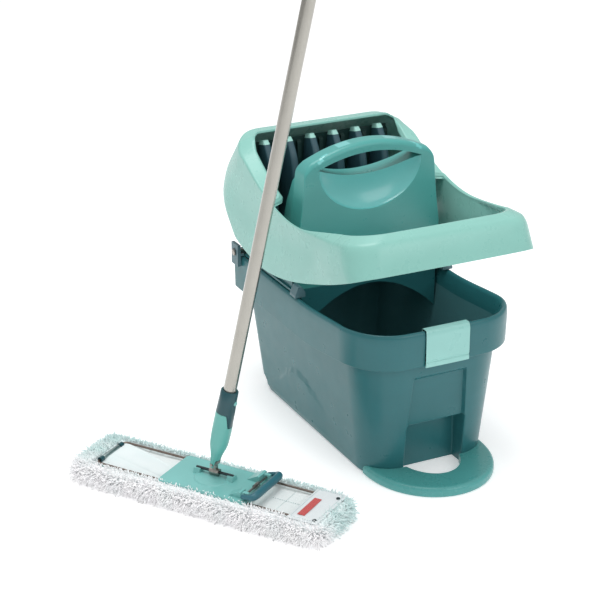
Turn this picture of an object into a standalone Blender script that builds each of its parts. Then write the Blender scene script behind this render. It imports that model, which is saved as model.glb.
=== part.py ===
"""Flat floor mop with a lever wringer bucket.

Metres, +Z up. The origin is the middle of the bucket's underside, on the floor, and the
bucket's front, where the foot loop is, faces -Y. The mop stands on the floor at its left.
"""
from math import cos, pi, radians, sin, sqrt

import bmesh
import bpy
from mathutils import Matrix, Vector

GAP = 0.0003                 # free space left between touching pieces

# Bucket
RIM_TOP = 0.270              # at the sides and the rear
RIM_LIFT = 0.014             # how much higher the rim is at the front
RIM_HALF = 0.159             # half width over the skirt
RIM_FRONT = -0.2545
RIM_REAR = 0.272
SKIRT_BOTTOM = 0.198
SKIRT_LIFT = 0.021           # how much higher the skirt ends at the front
SKIRT_TOP = 0.250            # where the skirt and the wall meet
FRONT_BOW = 0.005            # how far the middle of the front bulges
BASE_HALF = 0.118
BASE_FRONT = -0.218
BASE_REAR = 0.235
HEEL_DEPTH = 0.018           # step under the rear wall
HEEL_HEIGHT = 0.020
WALL = 0.003
FOOT_HALF = 0.0575           # foot cut-out in the front wall
FOOT_TOP = 0.095
FOOT_BACK = -0.1925
PANEL_DEPTH = 0.008
PANEL_TOP = 0.190
PANEL_HALF = 0.0575

# Foot loop
LOOP_HALF = 0.118
LOOP_FRONT = -0.327
LOOP_BACK = -0.186
LOOP_HEIGHT = 0.017
LOOP_HOLE_FRONT = -0.273

# Front catch
CATCH_HALF = 0.042
CATCH_LOW = 0.2185

# Press tray and carrying handle
DECK_TOP = 0.2743
DECK_FRONT = 0.016
DECK_REAR = 0.266
HANDLE_FRONT = 0.018
HANDLE_DEPTH = 0.038
HANDLE_TOP = 0.530
HANDLE_HALF = 0.130          # half width at the shoulder
GRIP_HALF = 0.1035           # finger opening
GRIP_CORNER = 0.490
GRIP_CROWN = 0.5115
GRIP_SILL = 0.463
SCOOP_DROP = 0.086
SCOOP_DEPTH = 0.026

# Hinge of the press lever
HINGE_Y = 0.236
HINGE_Z = 0.2752
HINGE_X = 0.1605             # inner face of the bracket's cheek
EAR_X = 0.1395               # inner face of the lever's ear
PIN_RADIUS = 0.004
LEVER_OPEN = radians(13.0)   # how far the lever stands open at rest

# Press lever, in its closed position
LEVER_HALF = 0.171
LEVER_FRONT = -0.281
LEVER_REAR = 0.262
LEVER_CORNER = 0.040         # front corners at the lower edge
BROW_CORNER = 0.052          # front corners above it
FRONT_FLARE = 0.035          # how much wider the lever gets towards its front, as a share
LEVER_REAR_CORNER = 0.052
LIP_HALF = 0.150             # half width of the opening at the front and in the hood
LIP_SPREAD = 0.170           # how much wider it is, as a share, where it runs along the flanks
LIP_FRONT = -0.258
LIP_REAR = 0.170
LIP_EDGE = 0.150             # rear edge of the opening in the hood
LIP_LOW = 0.350              # height of the lip at the front
LIP_HIGH = 0.4945            # height of the lip at the rear edge of the opening
EDGE_SPREAD = 0.183          # the same share for the inner edge of the lip
FLANGE_START = (0.028, 0.038)    # Y range over which the hood's flange begins
CROWN_RISE = 0.0145          # how far the hood rises behind its opening
CROWN_REAR = 0.190
CROWN_CORNER = 0.060
LEVER_WALL = 0.003
CREASE_HALF = 0.177          # half width at the crease between flank and flange
CREASE_DROPS = ((-0.281, 0.012), (-0.20, 0.012), (-0.08, 0.0025), (0.09, 0.0025), (0.11, 0.003),
                (0.155, 0.0125), (0.19, -0.001), (0.30, -0.001))   # (y, drop below the lip)
BLADES = 6
BLADE_PITCH = 0.0466
BLADE_TOP = 0.482
RIB_HALF = 0.0038            # ribs of the carrier, between the blades
RIB_SPREAD = 0.965           # keeps the outermost ribs inside the carrier's ends

# Mop head, in its own frame: U along the wiper, V across it
MOP_X = -0.3859
MOP_Y = -0.1514
MOP_TURN = radians(-55.2)
COVER_LEFT = -0.262
COVER_RIGHT = 0.248
COVER_HALF = 0.074
COVER_HEIGHT = 0.044
COVER_FLOOR = 0.030          # top of the flat cloth inside the fringe
POCKET_HALF = 0.0555
POCKET_LEFT = -0.217
POCKET_RIGHT = 0.2275
WIRE_Z = 0.036
WIRE_V = 0.043
WIRE_RADIUS = 0.002
WIRE_LEFT = -0.208
WIRE_RIGHT = 0.2135
WING_U = 0.080               # fold axis of the right wing
WING_NOTCH = radians(37.0)   # half of the notch that the fold closes
PLATE_LEFT = -0.079
PLATE_RIGHT = 0.092
PLATE_FRONT = -0.052
PLATE_REAR = 0.047
PLATE_LOW = 0.0325
PLATE_TOP = 0.041
ROD_V = 0.006
ROD_Z = 0.0495
ROD_RADIUS = 0.0025
RELEASE_U = 0.084
RELEASE_Z = 0.047
RAMPS = {-1: (-0.0410, -0.0240), 1: (0.0200, 0.0465)}   # (from V, to V) of the two ramps

# Universal joint and pole; S is the distance from the cross pin along the pole
PIN_HEIGHT = 0.016           # cross pin above the tilt rod
POLE_TILT = radians(-4.0)    # about the tilt rod, at rest
POLE_SWIVEL = radians(10.5)  # about the cross pin, at rest
SOCKET_TOP = 0.098
SLEEVE_TOP = 0.140
TONGUE_LOW = 0.074
TUBE_RADIUS = 0.011
TUBE_LOW = 0.103
TUBE_TOP = 1.262
GRIP_LOW = 1.120
GRIP_TOP = 1.268
POLE_TOP = 1.295

# Colours, sRGB
MINT = (0.60, 0.80, 0.74)
CATCH_MINT = (0.59, 0.82, 0.78)
TEAL = (0.26, 0.52, 0.52)
HANDLE_TEAL = (0.33, 0.62, 0.58)
BLADE_BLUE = (0.16, 0.28, 0.32)
DARK = (0.10, 0.14, 0.16)
STEEL = (0.62, 0.60, 0.58)
POLE_GREY = (0.72, 0.70, 0.67)
SLEEVE_TEAL = (0.12, 0.36, 0.42)
PLATE_MINT = (0.48, 0.76, 0.70)
CLOTH = (0.92, 0.95, 0.94)
LABEL_RED = (0.76, 0.20, 0.20)
GRIP_GREY = (0.25, 0.28, 0.30)


# ---------------------------------------------------------------- scene helpers

def clear_scene():
    for item in list(bpy.data.objects):
        bpy.data.objects.remove(item, do_unlink=True)


def linear(channel):
    return channel / 12.92 if channel <= 0.04045 else ((channel + 0.055) / 1.055) ** 2.4


def material(name, colour, roughness=0.4, metallic=0.0):
    made = bpy.data.materials.new(name)
    made.use_nodes = True
    shader = made.node_tree.nodes["Principled BSDF"]
    shader.inputs["Base Color"].default_value = (*[linear(c) for c in colour], 1.0)
    shader.inputs["Roughness"].default_value = roughness
    shader.inputs["Metallic"].default_value = metallic
    return made


def frame(name, parent=None, location=(0, 0, 0), rotation=(0, 0, 0)):
    empty = bpy.data.objects.new(name, None)
    empty.parent = parent
    empty.location = location
    empty.rotation_euler = rotation
    bpy.context.collection.objects.link(empty)
    return empty


def solid(name, verts, faces, look=None, parent=None, angle=35.0):
    """A closed mesh object whose faces point outwards."""
    mesh = bpy.data.meshes.new(name)
    mesh.from_pydata([tuple(v) for v in verts], [], faces)
    bm = bmesh.new()
    bm.from_mesh(mesh)
    bmesh.ops.recalc_face_normals(bm, faces=bm.faces)
    bm.to_mesh(mesh)
    bm.free()
    mesh.shade_smooth()
    mesh.set_sharp_from_angle(angle=radians(angle))
    made = bpy.data.objects.new(name, mesh)
    if look:
        mesh.materials.append(look)
    made.parent = parent
    bpy.context.collection.objects.link(made)
    return made


def combine(target, tool, operation="DIFFERENCE"):
    """Leave a live Boolean on target; its tool is kept out of the build."""
    step = target.modifiers.new(operation.lower(), "BOOLEAN")
    step.operation = operation
    step.solver = "EXACT"
    step.object = tool
    tool.hide_render = True
    tool.display_type = "WIRE"


# ---------------------------------------------------------------- shape helpers

def loft(rings, closed=False):
    """Vertices and faces that join equal rings; open lofts get a cap at each end."""
    count = len(rings[0])
    verts = [point for ring in rings for point in ring]
    faces = []
    for level in range(len(rings) - (0 if closed else 1)):
        low = level * count
        high = ((level + 1) % len(rings)) * count
        for i in range(count):
            j = (i + 1) % count
            faces.append((low + i, low + j, high + j, high + i))
    if not closed:
        faces.append(tuple(range(count))[::-1])
        faces.append(tuple(range(len(verts) - count, len(verts))))
    return verts, faces


def prism(name, outline, axis, low, high, look=None, parent=None):
    """Extrude a closed outline along X, Y or Z; the outline holds the other two coordinates."""
    place = {"X": lambda p, t: (t, p[0], p[1]),
             "Y": lambda p, t: (p[0], t, p[1]),
             "Z": lambda p, t: (p[0], p[1], t)}[axis]
    rings = [[place(p, t) for p in outline] for t in (low, high)]
    return solid(name, *loft(rings), look, parent)


def box(name, low, high, look=None, parent=None):
    outline = [(low[0], low[1]), (high[0], low[1]), (high[0], high[1]), (low[0], high[1])]
    return prism(name, outline, "Z", low[2], high[2], look, parent)


def arc(centre, radius, start, end, steps):
    """Points of an arc in a plane, angles in degrees."""
    turns = [radians(start + (end - start) * i / steps) for i in range(steps + 1)]
    return [(centre[0] + radius * cos(t), centre[1] + radius * sin(t)) for t in turns]


def along(axis, point):
    """Turn a point of a shape made about Z so that its Z lies along the axis."""
    x, y, z = point
    return {"X": (z, x, y), "Y": (y, z, x), "Z": (x, y, z)}[axis]


def turned(name, profile, axis="Z", centre=(0, 0, 0), look=None, parent=None, sides=16,
           bore=False):
    """Spin (radius, height) points about an axis. A bored profile is a closed loop."""
    rings = []
    for radius, height in profile:
        ring = []
        for i in range(sides):
            turn = 2 * pi * i / sides
            point = along(axis, (radius * cos(turn), radius * sin(turn), height))
            ring.append(Vector(point) + Vector(centre))
        rings.append(ring)
    return solid(name, *loft(rings, closed=bore), look, parent)


def rod(name, axis, centre, radius, low, high, look=None, parent=None, sides=16):
    return turned(name, [(radius, low), (radius, high)], axis, centre, look, parent, sides)


def swept(name, path, radius, look=None, parent=None, sides=8, closed=False):
    """A round bar along a path."""
    points = [Vector(p) for p in path]
    count = len(points)
    rings = []
    side = None
    for i, point in enumerate(points):
        before = points[i - 1] if closed or i else point
        after = points[(i + 1) % count] if closed or i < count - 1 else point
        tangent = (after - before).normalized()
        if side is None:
            side = tangent.orthogonal()
        side = (side - side.dot(tangent) * tangent).normalized()
        up = tangent.cross(side)
        turns = [2 * pi * k / sides for k in range(sides)]
        rings.append([point + radius * (cos(t) * side + sin(t) * up) for t in turns])
    return solid(name, *loft(rings, closed), look, parent)


def coil(name, axis, centre, radius, wire, low, high, turns, look=None, parent=None):
    """A helical spring about an axis."""
    steps = turns * 10
    path = []
    for i in range(steps + 1):
        turn = 2 * pi * turns * i / steps
        height = low + (high - low) * i / steps
        point = along(axis, (radius * cos(turn), radius * sin(turn), height))
        path.append(Vector(point) + Vector(centre))
    return swept(name, path, wire, look, parent, sides=5)


def oblong(half, front, rear, r_front, r_rear, bow=0.0, corner=6, side=4, end=4):
    """Rounded rectangle in plan, anticlockwise from the middle of its front edge."""
    right = [(half - r_front) * i / end for i in range(end)]
    right = [(x, front) for x in right]
    right += arc((half - r_front, front + r_front), r_front, -90, 0, corner)
    right = [(x, y - bow * (1 - (x / half) ** 2)) for x, y in right]
    span = (front + r_front, rear - r_rear)
    right += [(half, span[0] + (span[1] - span[0]) * i / side) for i in range(1, side)]
    right += arc((half - r_rear, rear - r_rear), r_rear, 0, 90, corner)
    right += [((half - r_rear) * (1 - i / end), rear) for i in range(1, end + 1)]
    return right + [(-x, y) for x, y in right[-2:0:-1]]


def ease(value, start, end):
    """Smooth step from 0 at start to 1 at end."""
    t = min(max((value - start) / (end - start), 0.0), 1.0)
    return t * t * (3 - 2 * t)


# ---------------------------------------------------------------- bucket

def body_wall(height, inset=0.0):
    """Outline of the bucket's body at a height, up to the rim."""
    share = height / SKIRT_TOP
    half = BASE_HALF + 0.0285 * share - inset
    front = BASE_FRONT - 0.0255 * share + inset
    heel = HEEL_DEPTH * (1 - ease(height, HEEL_HEIGHT, HEEL_HEIGHT + 0.006))
    rear = BASE_REAR + 0.0245 * share - heel - inset
    return half, front, rear, 0.056 + 0.026 * share - inset, 0.034 + 0.006 * share - inset


def ring_at(height, wall, lift=0.0):
    """The ring of a wall at a height, lifted smoothly towards the front."""
    half, front, rear, r_front, r_rear = wall
    plan = oblong(half, front, rear, r_front, r_rear, FRONT_BOW, side=8)
    return [(x, y, height + lift * ease(-y, 0.015, 0.22)) for x, y in plan]


def skirt_wall(inset):
    return (RIM_HALF - inset, RIM_FRONT + inset, RIM_REAR - inset, 0.086 - inset, 0.022 - inset)


def make_bucket(look):
    rings = [ring_at(0.0, body_wall(0.0, 0.005)), ring_at(0.005, body_wall(0.005))]
    rings += [ring_at(z, body_wall(z)) for z in (HEEL_HEIGHT, HEEL_HEIGHT + 0.006)]
    rings += [ring_at(SKIRT_TOP, wall, RIM_LIFT) for wall in (body_wall(SKIRT_TOP),
                                                              skirt_wall(0.0040))]
    rings += [ring_at(SKIRT_BOTTOM, skirt_wall(inset), SKIRT_LIFT) for inset in (0.0045, 0.0010)]
    rings += [ring_at(RIM_TOP - drop, skirt_wall(inset), RIM_LIFT) for drop, inset in
              ((0.014, 0.0), (0.004, 0.0015), (0.0, 0.0055), (0.004, 0.0105))]
    rings += [ring_at(SKIRT_TOP, body_wall(SKIRT_TOP, WALL), RIM_LIFT)]
    rings += [ring_at(z, body_wall(z, WALL))
              for z in (HEEL_HEIGHT + 0.010, HEEL_HEIGHT + 0.004, 0.007)]
    rings += [ring_at(WALL, body_wall(WALL, WALL + 0.005))]
    bucket = solid("bucket_body", *loft(rings), look)

    def wall_y(height):
        """Front of the wall beside the foot cut-out."""
        heel = HEEL_HEIGHT + 0.006
        share = max(height - heel, 0.0) / (SKIRT_TOP + RIM_LIFT - heel)
        low = body_wall(min(height, heel))[1]
        bow = FRONT_BOW * (1 - (FOOT_HALF / BASE_HALF) ** 2)
        return low + share * (body_wall(SKIRT_TOP)[1] - low) - bow

    lining = [(wall_y(0) + 0.006, 0.0005), (wall_y(0.005) + 0.0012, 0.006)]
    lining += [(wall_y(FOOT_TOP) + 0.0012, FOOT_TOP + WALL)]
    lining += [(FOOT_BACK + WALL, FOOT_TOP + WALL), (FOOT_BACK + WALL, 0.0005)]
    foot_lining = prism("foot_lining", lining, "X", -FOOT_HALF - WALL, FOOT_HALF + WALL)
    panel = [(wall_y(FOOT_TOP) + 0.0014, FOOT_TOP - 0.002),
             (wall_y(PANEL_TOP) + 0.0014, PANEL_TOP + WALL),
             (wall_y(PANEL_TOP) + PANEL_DEPTH + WALL, PANEL_TOP + WALL),
             (wall_y(FOOT_TOP) + PANEL_DEPTH + WALL, FOOT_TOP - 0.002)]
    panel_lining = prism("panel_lining", panel, "X", -PANEL_HALF, PANEL_HALF)
    foot_cut = box("foot_cut", (-FOOT_HALF, -0.30, -0.05), (FOOT_HALF, FOOT_BACK, FOOT_TOP))
    rings = []
    for height, half in ((FOOT_TOP - 0.001, PANEL_HALF - 0.002), (PANEL_TOP, 0.0500)):
        back = wall_y(height) + PANEL_DEPTH
        rings.append([(-half, -0.30, height), (half, -0.30, height),
                      (half, back, height), (-half, back, height)])
    panel_cut = solid("panel_cut", *loft(rings))
    combine(bucket, foot_lining, "UNION")
    combine(bucket, panel_lining, "UNION")
    combine(bucket, foot_cut)
    combine(bucket, panel_cut)


def make_foot_loop(look):
    def half_oval(half, front, back, steps):
        turns = [pi * i / steps for i in range(steps + 1)]
        return [(-half * cos(t), back + (front - back) * sin(t) ** 0.92) for t in turns]

    rings = []
    for height, inset in ((0.0, 0.0015), (0.003, 0.0), (LOOP_HEIGHT - 0.005, 0.0),
                          (LOOP_HEIGHT - 0.0012, 0.0025), (LOOP_HEIGHT, 0.0055)):
        oval = half_oval(LOOP_HALF - inset, LOOP_FRONT + inset, LOOP_BACK, 28)
        rings.append([(x, y, height) for x, y in oval])
    loop = solid("foot_loop", *loft(rings), look)
    half, front, rear, r_front, r_rear = body_wall(LOOP_HEIGHT, -GAP)
    plan = oblong(half, front, rear, r_front, r_rear, FRONT_BOW)
    bucket_plan = prism("bucket_plan", plan, "Z", -0.01, 0.05)
    hole = half_oval(FOOT_HALF + 0.0005, LOOP_HOLE_FRONT, -0.205, 20)
    hole += [(FOOT_HALF + 0.0005, -0.15), (-FOOT_HALF - 0.0005, -0.15)]
    foot_hole = prism("foot_hole", hole, "Z", -0.01, 0.05)
    combine(loop, bucket_plan)
    combine(loop, foot_hole)


def make_front_catch(look):
    face = RIM_FRONT - 0.0035
    back = RIM_FRONT - 0.0006
    lip = RIM_FRONT + 0.0125
    top = RIM_TOP + RIM_LIFT
    groove = CATCH_LOW + 0.008
    section = [(face, CATCH_LOW), (face, groove), (face + 0.001, groove + 0.001),
               (face + 0.001, groove + 0.0035), (face, groove + 0.0045), (face, top - 0.006),
               (face + 0.0035, top + 0.0022), (lip - 0.001, top + 0.0022),
               (lip + 0.0022, top - 0.001), (lip + 0.0022, top - 0.006), (lip, top - 0.006),
               (lip, top + GAP), (back, top + GAP), (back, CATCH_LOW)]
    rings = []
    for i in range(9):
        x = CATCH_HALF * (i / 4 - 1)
        bow = FRONT_BOW * (1 - (x / RIM_HALF) ** 2)
        rings.append([(x, y - bow, z) for y, z in section])
    solid("front_catch", *loft(rings), look)


# ---------------------------------------------------------------- press tray and handle

def make_press_tray(look):
    plan = [(0.1525, DECK_FRONT)] + arc((0.1305, DECK_REAR - 0.022), 0.022, 0, 90, 6)
    plan += [(-x, y) for x, y in plan[::-1]]
    tray = prism("press_tray", plan, "Z", RIM_TOP + GAP, DECK_TOP, look)
    arch = [(0.1364 * (1 - i / 8), 0) for i in range(17)]
    arch = [(x, 0.264 - 0.068 * (x / 0.1364) ** 2) for x, z in arch]
    outline = [(-0.1364, DECK_TOP - 0.001), (0.1364, DECK_TOP - 0.001)] + arch
    apron = prism("apron", outline, "Y", DECK_FRONT, DECK_FRONT + WALL)
    combine(tray, apron, "UNION")
    for side in (-1, 1):
        low, high = sorted((side * 0.1455, side * 0.1485))
        wall = box(f"tray_wall_{side}", (low, 0.030, DECK_TOP - 0.001), (high, 0.205, 0.2900))
        combine(tray, wall, "UNION")
        low, high = sorted((side * 0.1270, side * 0.1600))
        notch = box(f"hinge_notch_{side}", (low, HINGE_Y - 0.0155, 0.25), (high, 0.30, 0.30))
        combine(tray, notch)
    for i in range(BLADES):
        x = BLADE_PITCH * (i - (BLADES - 1) / 2)
        slot = box(f"drain_{i}", (x - 0.007, 0.118, 0.25), (x + 0.007, 0.185, 0.29))
        combine(tray, slot)


def grip_opening():
    """Lens-shaped finger opening in X and Z."""
    steps = 12
    across = [GRIP_HALF * (2 * i / steps - 1) for i in range(steps + 1)]
    sill = [(x, GRIP_SILL + (GRIP_CORNER - GRIP_SILL) * (x / GRIP_HALF) ** 2) for x in across]
    crown = [(x, GRIP_CROWN + (GRIP_CORNER - GRIP_CROWN) * (x / GRIP_HALF) ** 2) for x in across]
    return sill + crown[-2:0:-1]


def make_handle(look):
    foot = DECK_TOP + GAP
    flank = [(0.1440, foot), (0.1445, 0.355), (0.1375, 0.400), (0.1335, 0.440), (0.1305, 0.475),
             (0.1285, 0.487), (0.1240, 0.4950)]
    arch = [0.117 * (1 - i / 7) for i in range(15)]
    outline = flank + [(x, HANDLE_TOP - 0.034 * (x / HANDLE_HALF) ** 2) for x in arch]
    outline += [(-x, z) for x, z in flank[::-1]]
    front = prism("handle_front_shell", outline, "Y", HANDLE_FRONT, HANDLE_FRONT + HANDLE_DEPTH,
                  look)
    hollow = [(0.138, 0.20), (0.1385, 0.355), (0.131, 0.385)]
    hollow += [(-x, z) for x, z in hollow[::-1]]
    front_hollow = prism("front_hollow", hollow, "Y", HANDLE_FRONT + 0.0035, 0.09)
    opening = prism("grip_opening", grip_opening(), "Y", -0.02, 0.14)
    rings = []
    for i in range(9):
        drop = sin(radians(90 * i / 9))
        size = sqrt(1 - drop ** 2)
        height = GRIP_CORNER - SCOOP_DROP * drop
        spin = [2 * pi * k / 28 for k in range(28)]
        rings.append([(GRIP_HALF * size * cos(t),
                       HANDLE_FRONT - 0.004 + (SCOOP_DEPTH + 0.004) * size * sin(t), height)
                      for t in spin])
    scoop = solid("scoop", *loft(rings))
    combine(front, front_hollow)
    combine(front, scoop)
    combine(front, opening)

    near = HANDLE_FRONT + HANDLE_DEPTH + GAP
    rings = []
    for height, half, far in ((foot, 0.1430, 0.104), (0.355, 0.1435, 0.101), (0.420, 0.1350, 0.094),
                              (0.460, 0.1300, 0.080), (0.490, 0.1150, 0.065)):
        rings.append([(-half, near, height), (half, near, height),
                      (half - 0.006, far, height), (0.006 - half, far, height)])
    rear = solid("handle_rear_shell", *loft(rings), look)
    rings = []
    for height, half, far in ((0.20, 0.138, 0.100), (0.355, 0.1385, 0.097), (0.440, 0.121, 0.084)):
        rings.append([(-half, near - 0.02, height), (half, near - 0.02, height),
                      (half - 0.006, far, height), (0.006 - half, far, height)])
    rear_hollow = solid("rear_hollow", *loft(rings))
    combine(rear, rear_hollow)
    combine(rear, opening)


def make_rim_clips(look):
    section = [(0.1400, RIM_TOP + 0.0006), (0.1600, RIM_TOP + 0.0006), (0.1600, 0.2745),
               (0.1540, 0.2900), (0.1470, 0.2900), (0.1400, 0.2790)]
    for name, side in (("rim_clip_left", -1), ("rim_clip_right", 1)):
        outline = [(side * x, z) for x, z in section]
        prism(name, outline, "Y", DECK_FRONT - 0.0225, DECK_FRONT - GAP, look)


# ---------------------------------------------------------------- hinges

def make_hinges(dark, steel):
    """Brackets hooked over the rim, each with a pin and a return spring inboard of it."""
    outer = HINGE_X + 0.006
    flange = RIM_HALF + 0.0007
    section = [(flange, 0.2500), (outer, 0.2500), (outer, 0.2915), (HINGE_X, 0.2915),
               (HINGE_X, DECK_TOP), (0.1535, DECK_TOP), (0.1535, RIM_TOP + GAP),
               (flange, RIM_TOP + GAP)]
    for name, side in (("left", -1), ("right", 1)):
        outline = [(side * x, z) for x, z in section]
        bracket = prism(f"hinge_bracket_{name}", outline, "Y", HINGE_Y - 0.014, HINGE_Y + 0.014,
                        dark)
        bore = rod(f"bracket_bore_{name}", "X", (0, HINGE_Y, HINGE_Z), PIN_RADIUS + GAP,
                   side * 0.10, side * 0.18)
        combine(bracket, bore)
        head = outer + GAP
        profile = [(PIN_RADIUS, 0.1275), (PIN_RADIUS, head), (0.0066, head),
                   (0.0066, head + 0.0026), (0.0050, head + 0.0036)]
        turned(f"hinge_pin_{name}", [(r, side * x) for r, x in profile], "X",
               (0, HINGE_Y, HINGE_Z), steel)
        coil(f"return_spring_{name}", "X", (0, HINGE_Y, HINGE_Z), 0.0058, 0.0009,
             side * 0.1295, side * 0.1378, 4, steel)


# ---------------------------------------------------------------- press lever

def lever_sill(y):
    """Height of the lever's lower edge when it is closed."""
    if y < 0.0:
        return 0.250 + 0.033 * (min(-y, 0.28) / 0.28) ** 1.6
    return 0.250 + 0.076 * (min(y, 0.245) / 0.245) ** 2.4


def lip_height(y):
    """Height of the lever's lip when it is closed."""
    rise = min(max((y + 0.12) / (LIP_EDGE + 0.12), 0.0), 1.0)
    crown = CROWN_RISE * ease(y, LIP_EDGE, CROWN_REAR)
    return LIP_LOW + (LIP_HIGH - LIP_LOW) * rise ** 2.2 + crown


def crease_drop(y):
    """How far the crease between flank and flange lies below the lip."""
    for (y0, drop0), (y1, drop1) in zip(CREASE_DROPS, CREASE_DROPS[1:]):
        if y <= y1:
            return drop0 + (drop1 - drop0) * ease(y, y0, y1)
    return CREASE_DROPS[-1][1]


def lever_rings(**counts):
    """Section rings of the lever frame, closed position, from its lower edge round the lip."""
    def plan(half, front, rear, inset=0.0, round_rear=LEVER_REAR_CORNER, round_front=BROW_CORNER):
        outline = oblong(half - inset, front + inset, rear - inset, round_front - inset,
                         round_rear - inset, 0.004, **counts)
        return [(x * (1 + FRONT_FLARE * ease(-y, 0.10, 0.20)), y) for x, y in outline]

    def foot(inset):
        return plan(LEVER_HALF, LEVER_FRONT, LEVER_REAR, inset, LEVER_REAR_CORNER, LEVER_CORNER)

    def spread(outline, share):
        """Widen an outline of the lip where it runs along the flanks."""
        along_flank = [ease(y, -0.215, -0.080) - ease(y, *FLANGE_START) for x, y in outline]
        return [(x * (1 + share * part), y) for (x, y), part in zip(outline, along_flank)]

    base = foot(0.0)
    lip = spread(plan(LIP_HALF, LIP_FRONT, LIP_REAR, 0.0, 0.045), LIP_SPREAD)
    low = [lever_sill(y) for x, y in base]
    high = [lip_height(y) for x, y in lip]

    def ring(outline, share, lift=0.0, side=0.0):
        """A ring part of the way up; side is a further drop along the flanks."""
        return [(x, y, a + (b - a) * share + lift - side * ease(y, -0.20, -0.05))
                for (x, y), a, b in zip(outline, low, high)]

    def crease(inset, lift):
        """The crease, which widens behind the front."""
        outline = plan(brow_half, LEVER_FRONT + 0.009, CROWN_REAR, inset, CROWN_CORNER)
        widen = CREASE_HALF / brow_half - 1
        return [(x * (1 + widen * ease(y, -0.20, -0.08)), y, b - crease_drop(y) + lift)
                for (x, y), b in zip(outline, high)]

    bulge = (LEVER_HALF + 0.001, LEVER_FRONT + 0.001, 0.297)
    upper = (LEVER_HALF - 0.001, LEVER_FRONT + 0.004, 0.268)
    brow_half = LEVER_HALF - 0.005
    edge = spread(plan(LIP_HALF - 0.005, LIP_FRONT + 0.005, LIP_EDGE, 0, 0.016), EDGE_SPREAD)
    wall = LEVER_WALL
    return [ring(base, 0), ring(plan(*bulge), 0.35), ring(plan(*upper), 0.66, 0, 0.004),
            crease(0.0, 0.0), ring(lip, 1),
            ring(edge, 1, -0.001), ring(edge, 1, -0.006),
            crease(wall + 0.002, -0.0045),
            ring(plan(*upper, wall), 0.64, 0, 0.004),
            ring(plan(*bulge, wall), 0.34), ring(foot(wall), 0)]


def from_hinge(rings):
    return [[(x, y - HINGE_Y, z - HINGE_Z) for x, y, z in ring] for ring in rings]


def carrier_y(z):
    """Front face of the blade carrier, which leans back towards its foot."""
    return 0.166 + 0.30 * (BLADE_TOP - z)


def make_carrier(axis, dark):
    """Sloping plate that holds the blades, with an ear on each hinge pin."""
    def local(points):
        return [(y - HINGE_Y, z - HINGE_Z) for y, z in points]

    top, foot, depth = 0.479, 0.315, 0.0042
    strip = [(carrier_y(top), top), (carrier_y(foot), foot), (carrier_y(foot) + depth, foot),
             (carrier_y(top) + depth, top)]
    carrier = prism("blade_carrier", local(strip), "X", -0.1385, 0.1385, dark, axis)
    ear = arc((0, 0), 0.0066, 160, 380, 10)
    ear += local([(carrier_y(0.345) + 0.012, 0.345), (carrier_y(0.345), 0.345),
                  (carrier_y(0.318), 0.318)])
    bridge = local([(carrier_y(z) + step, z)
                    for z, step in ((0.342, -0.001), (0.320, -0.001), (0.320, 0.006), (0.342, 0.006))])
    rib = local([(carrier_y(z) - depth, z)
                 for z, depth in ((0.474, -0.001), (0.468, 0.006), (0.440, 0.009), (0.360, 0.009),
                                  (0.336, 0.006), (0.330, -0.001))])
    for i in range(BLADES + 1):
        x = BLADE_PITCH * (i - BLADES / 2) * RIB_SPREAD
        combine(carrier, prism(f"rib_{i}", rib, "X", x - RIB_HALF, x + RIB_HALF, None, axis), "UNION")
    for side in (-1, 1):
        low, high = sorted((side * EAR_X, side * (EAR_X + 0.0055)))
        lug = prism(f"ear_{side}", ear, "X", low, high, None, axis)
        low, high = sorted((side * 0.1340, side * (EAR_X + 0.0045)))
        web = prism(f"web_{side}", bridge, "X", low, high, None, axis)
        bore = rod(f"ear_bore_{side}", "X", (0, 0, 0), PIN_RADIUS + GAP, side * 0.13, side * 0.17,
                   None, axis)
        combine(carrier, web, "UNION")
        combine(carrier, lug, "UNION")
        combine(carrier, bore)


def make_lever(axis, mint, dark, blade):
    rings = from_hinge(lever_rings(corner=6, side=30, end=4))
    solid("lever_frame", *loft(rings, closed=True), mint, axis)
    make_carrier(axis, dark)
    levels = ((0.322, 0.0105, 0.160), (0.345, 0.0115, 0.146), (0.400, 0.0110, 0.136),
              (0.450, 0.0100, 0.138), (BLADE_TOP, 0.0085, 0.152))
    for i in range(BLADES):
        x = BLADE_PITCH * (i - (BLADES - 1) / 2)
        rings = []
        for height, half, near in levels:
            far = carrier_y(height) - GAP
            rings.append([(x - 0.7 * half, near, height), (x + 0.7 * half, near, height),
                          (x + half, far, height), (x - half, far, height)])
        solid(f"press_blade_{i + 1}", *loft(from_hinge(rings)), blade, axis)


# ---------------------------------------------------------------- mop head

def wire_corner(u, v, radius, start, end):
    return [(x, y, WIRE_Z) for x, y in arc((u, v), radius, start, end, 4)]


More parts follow.
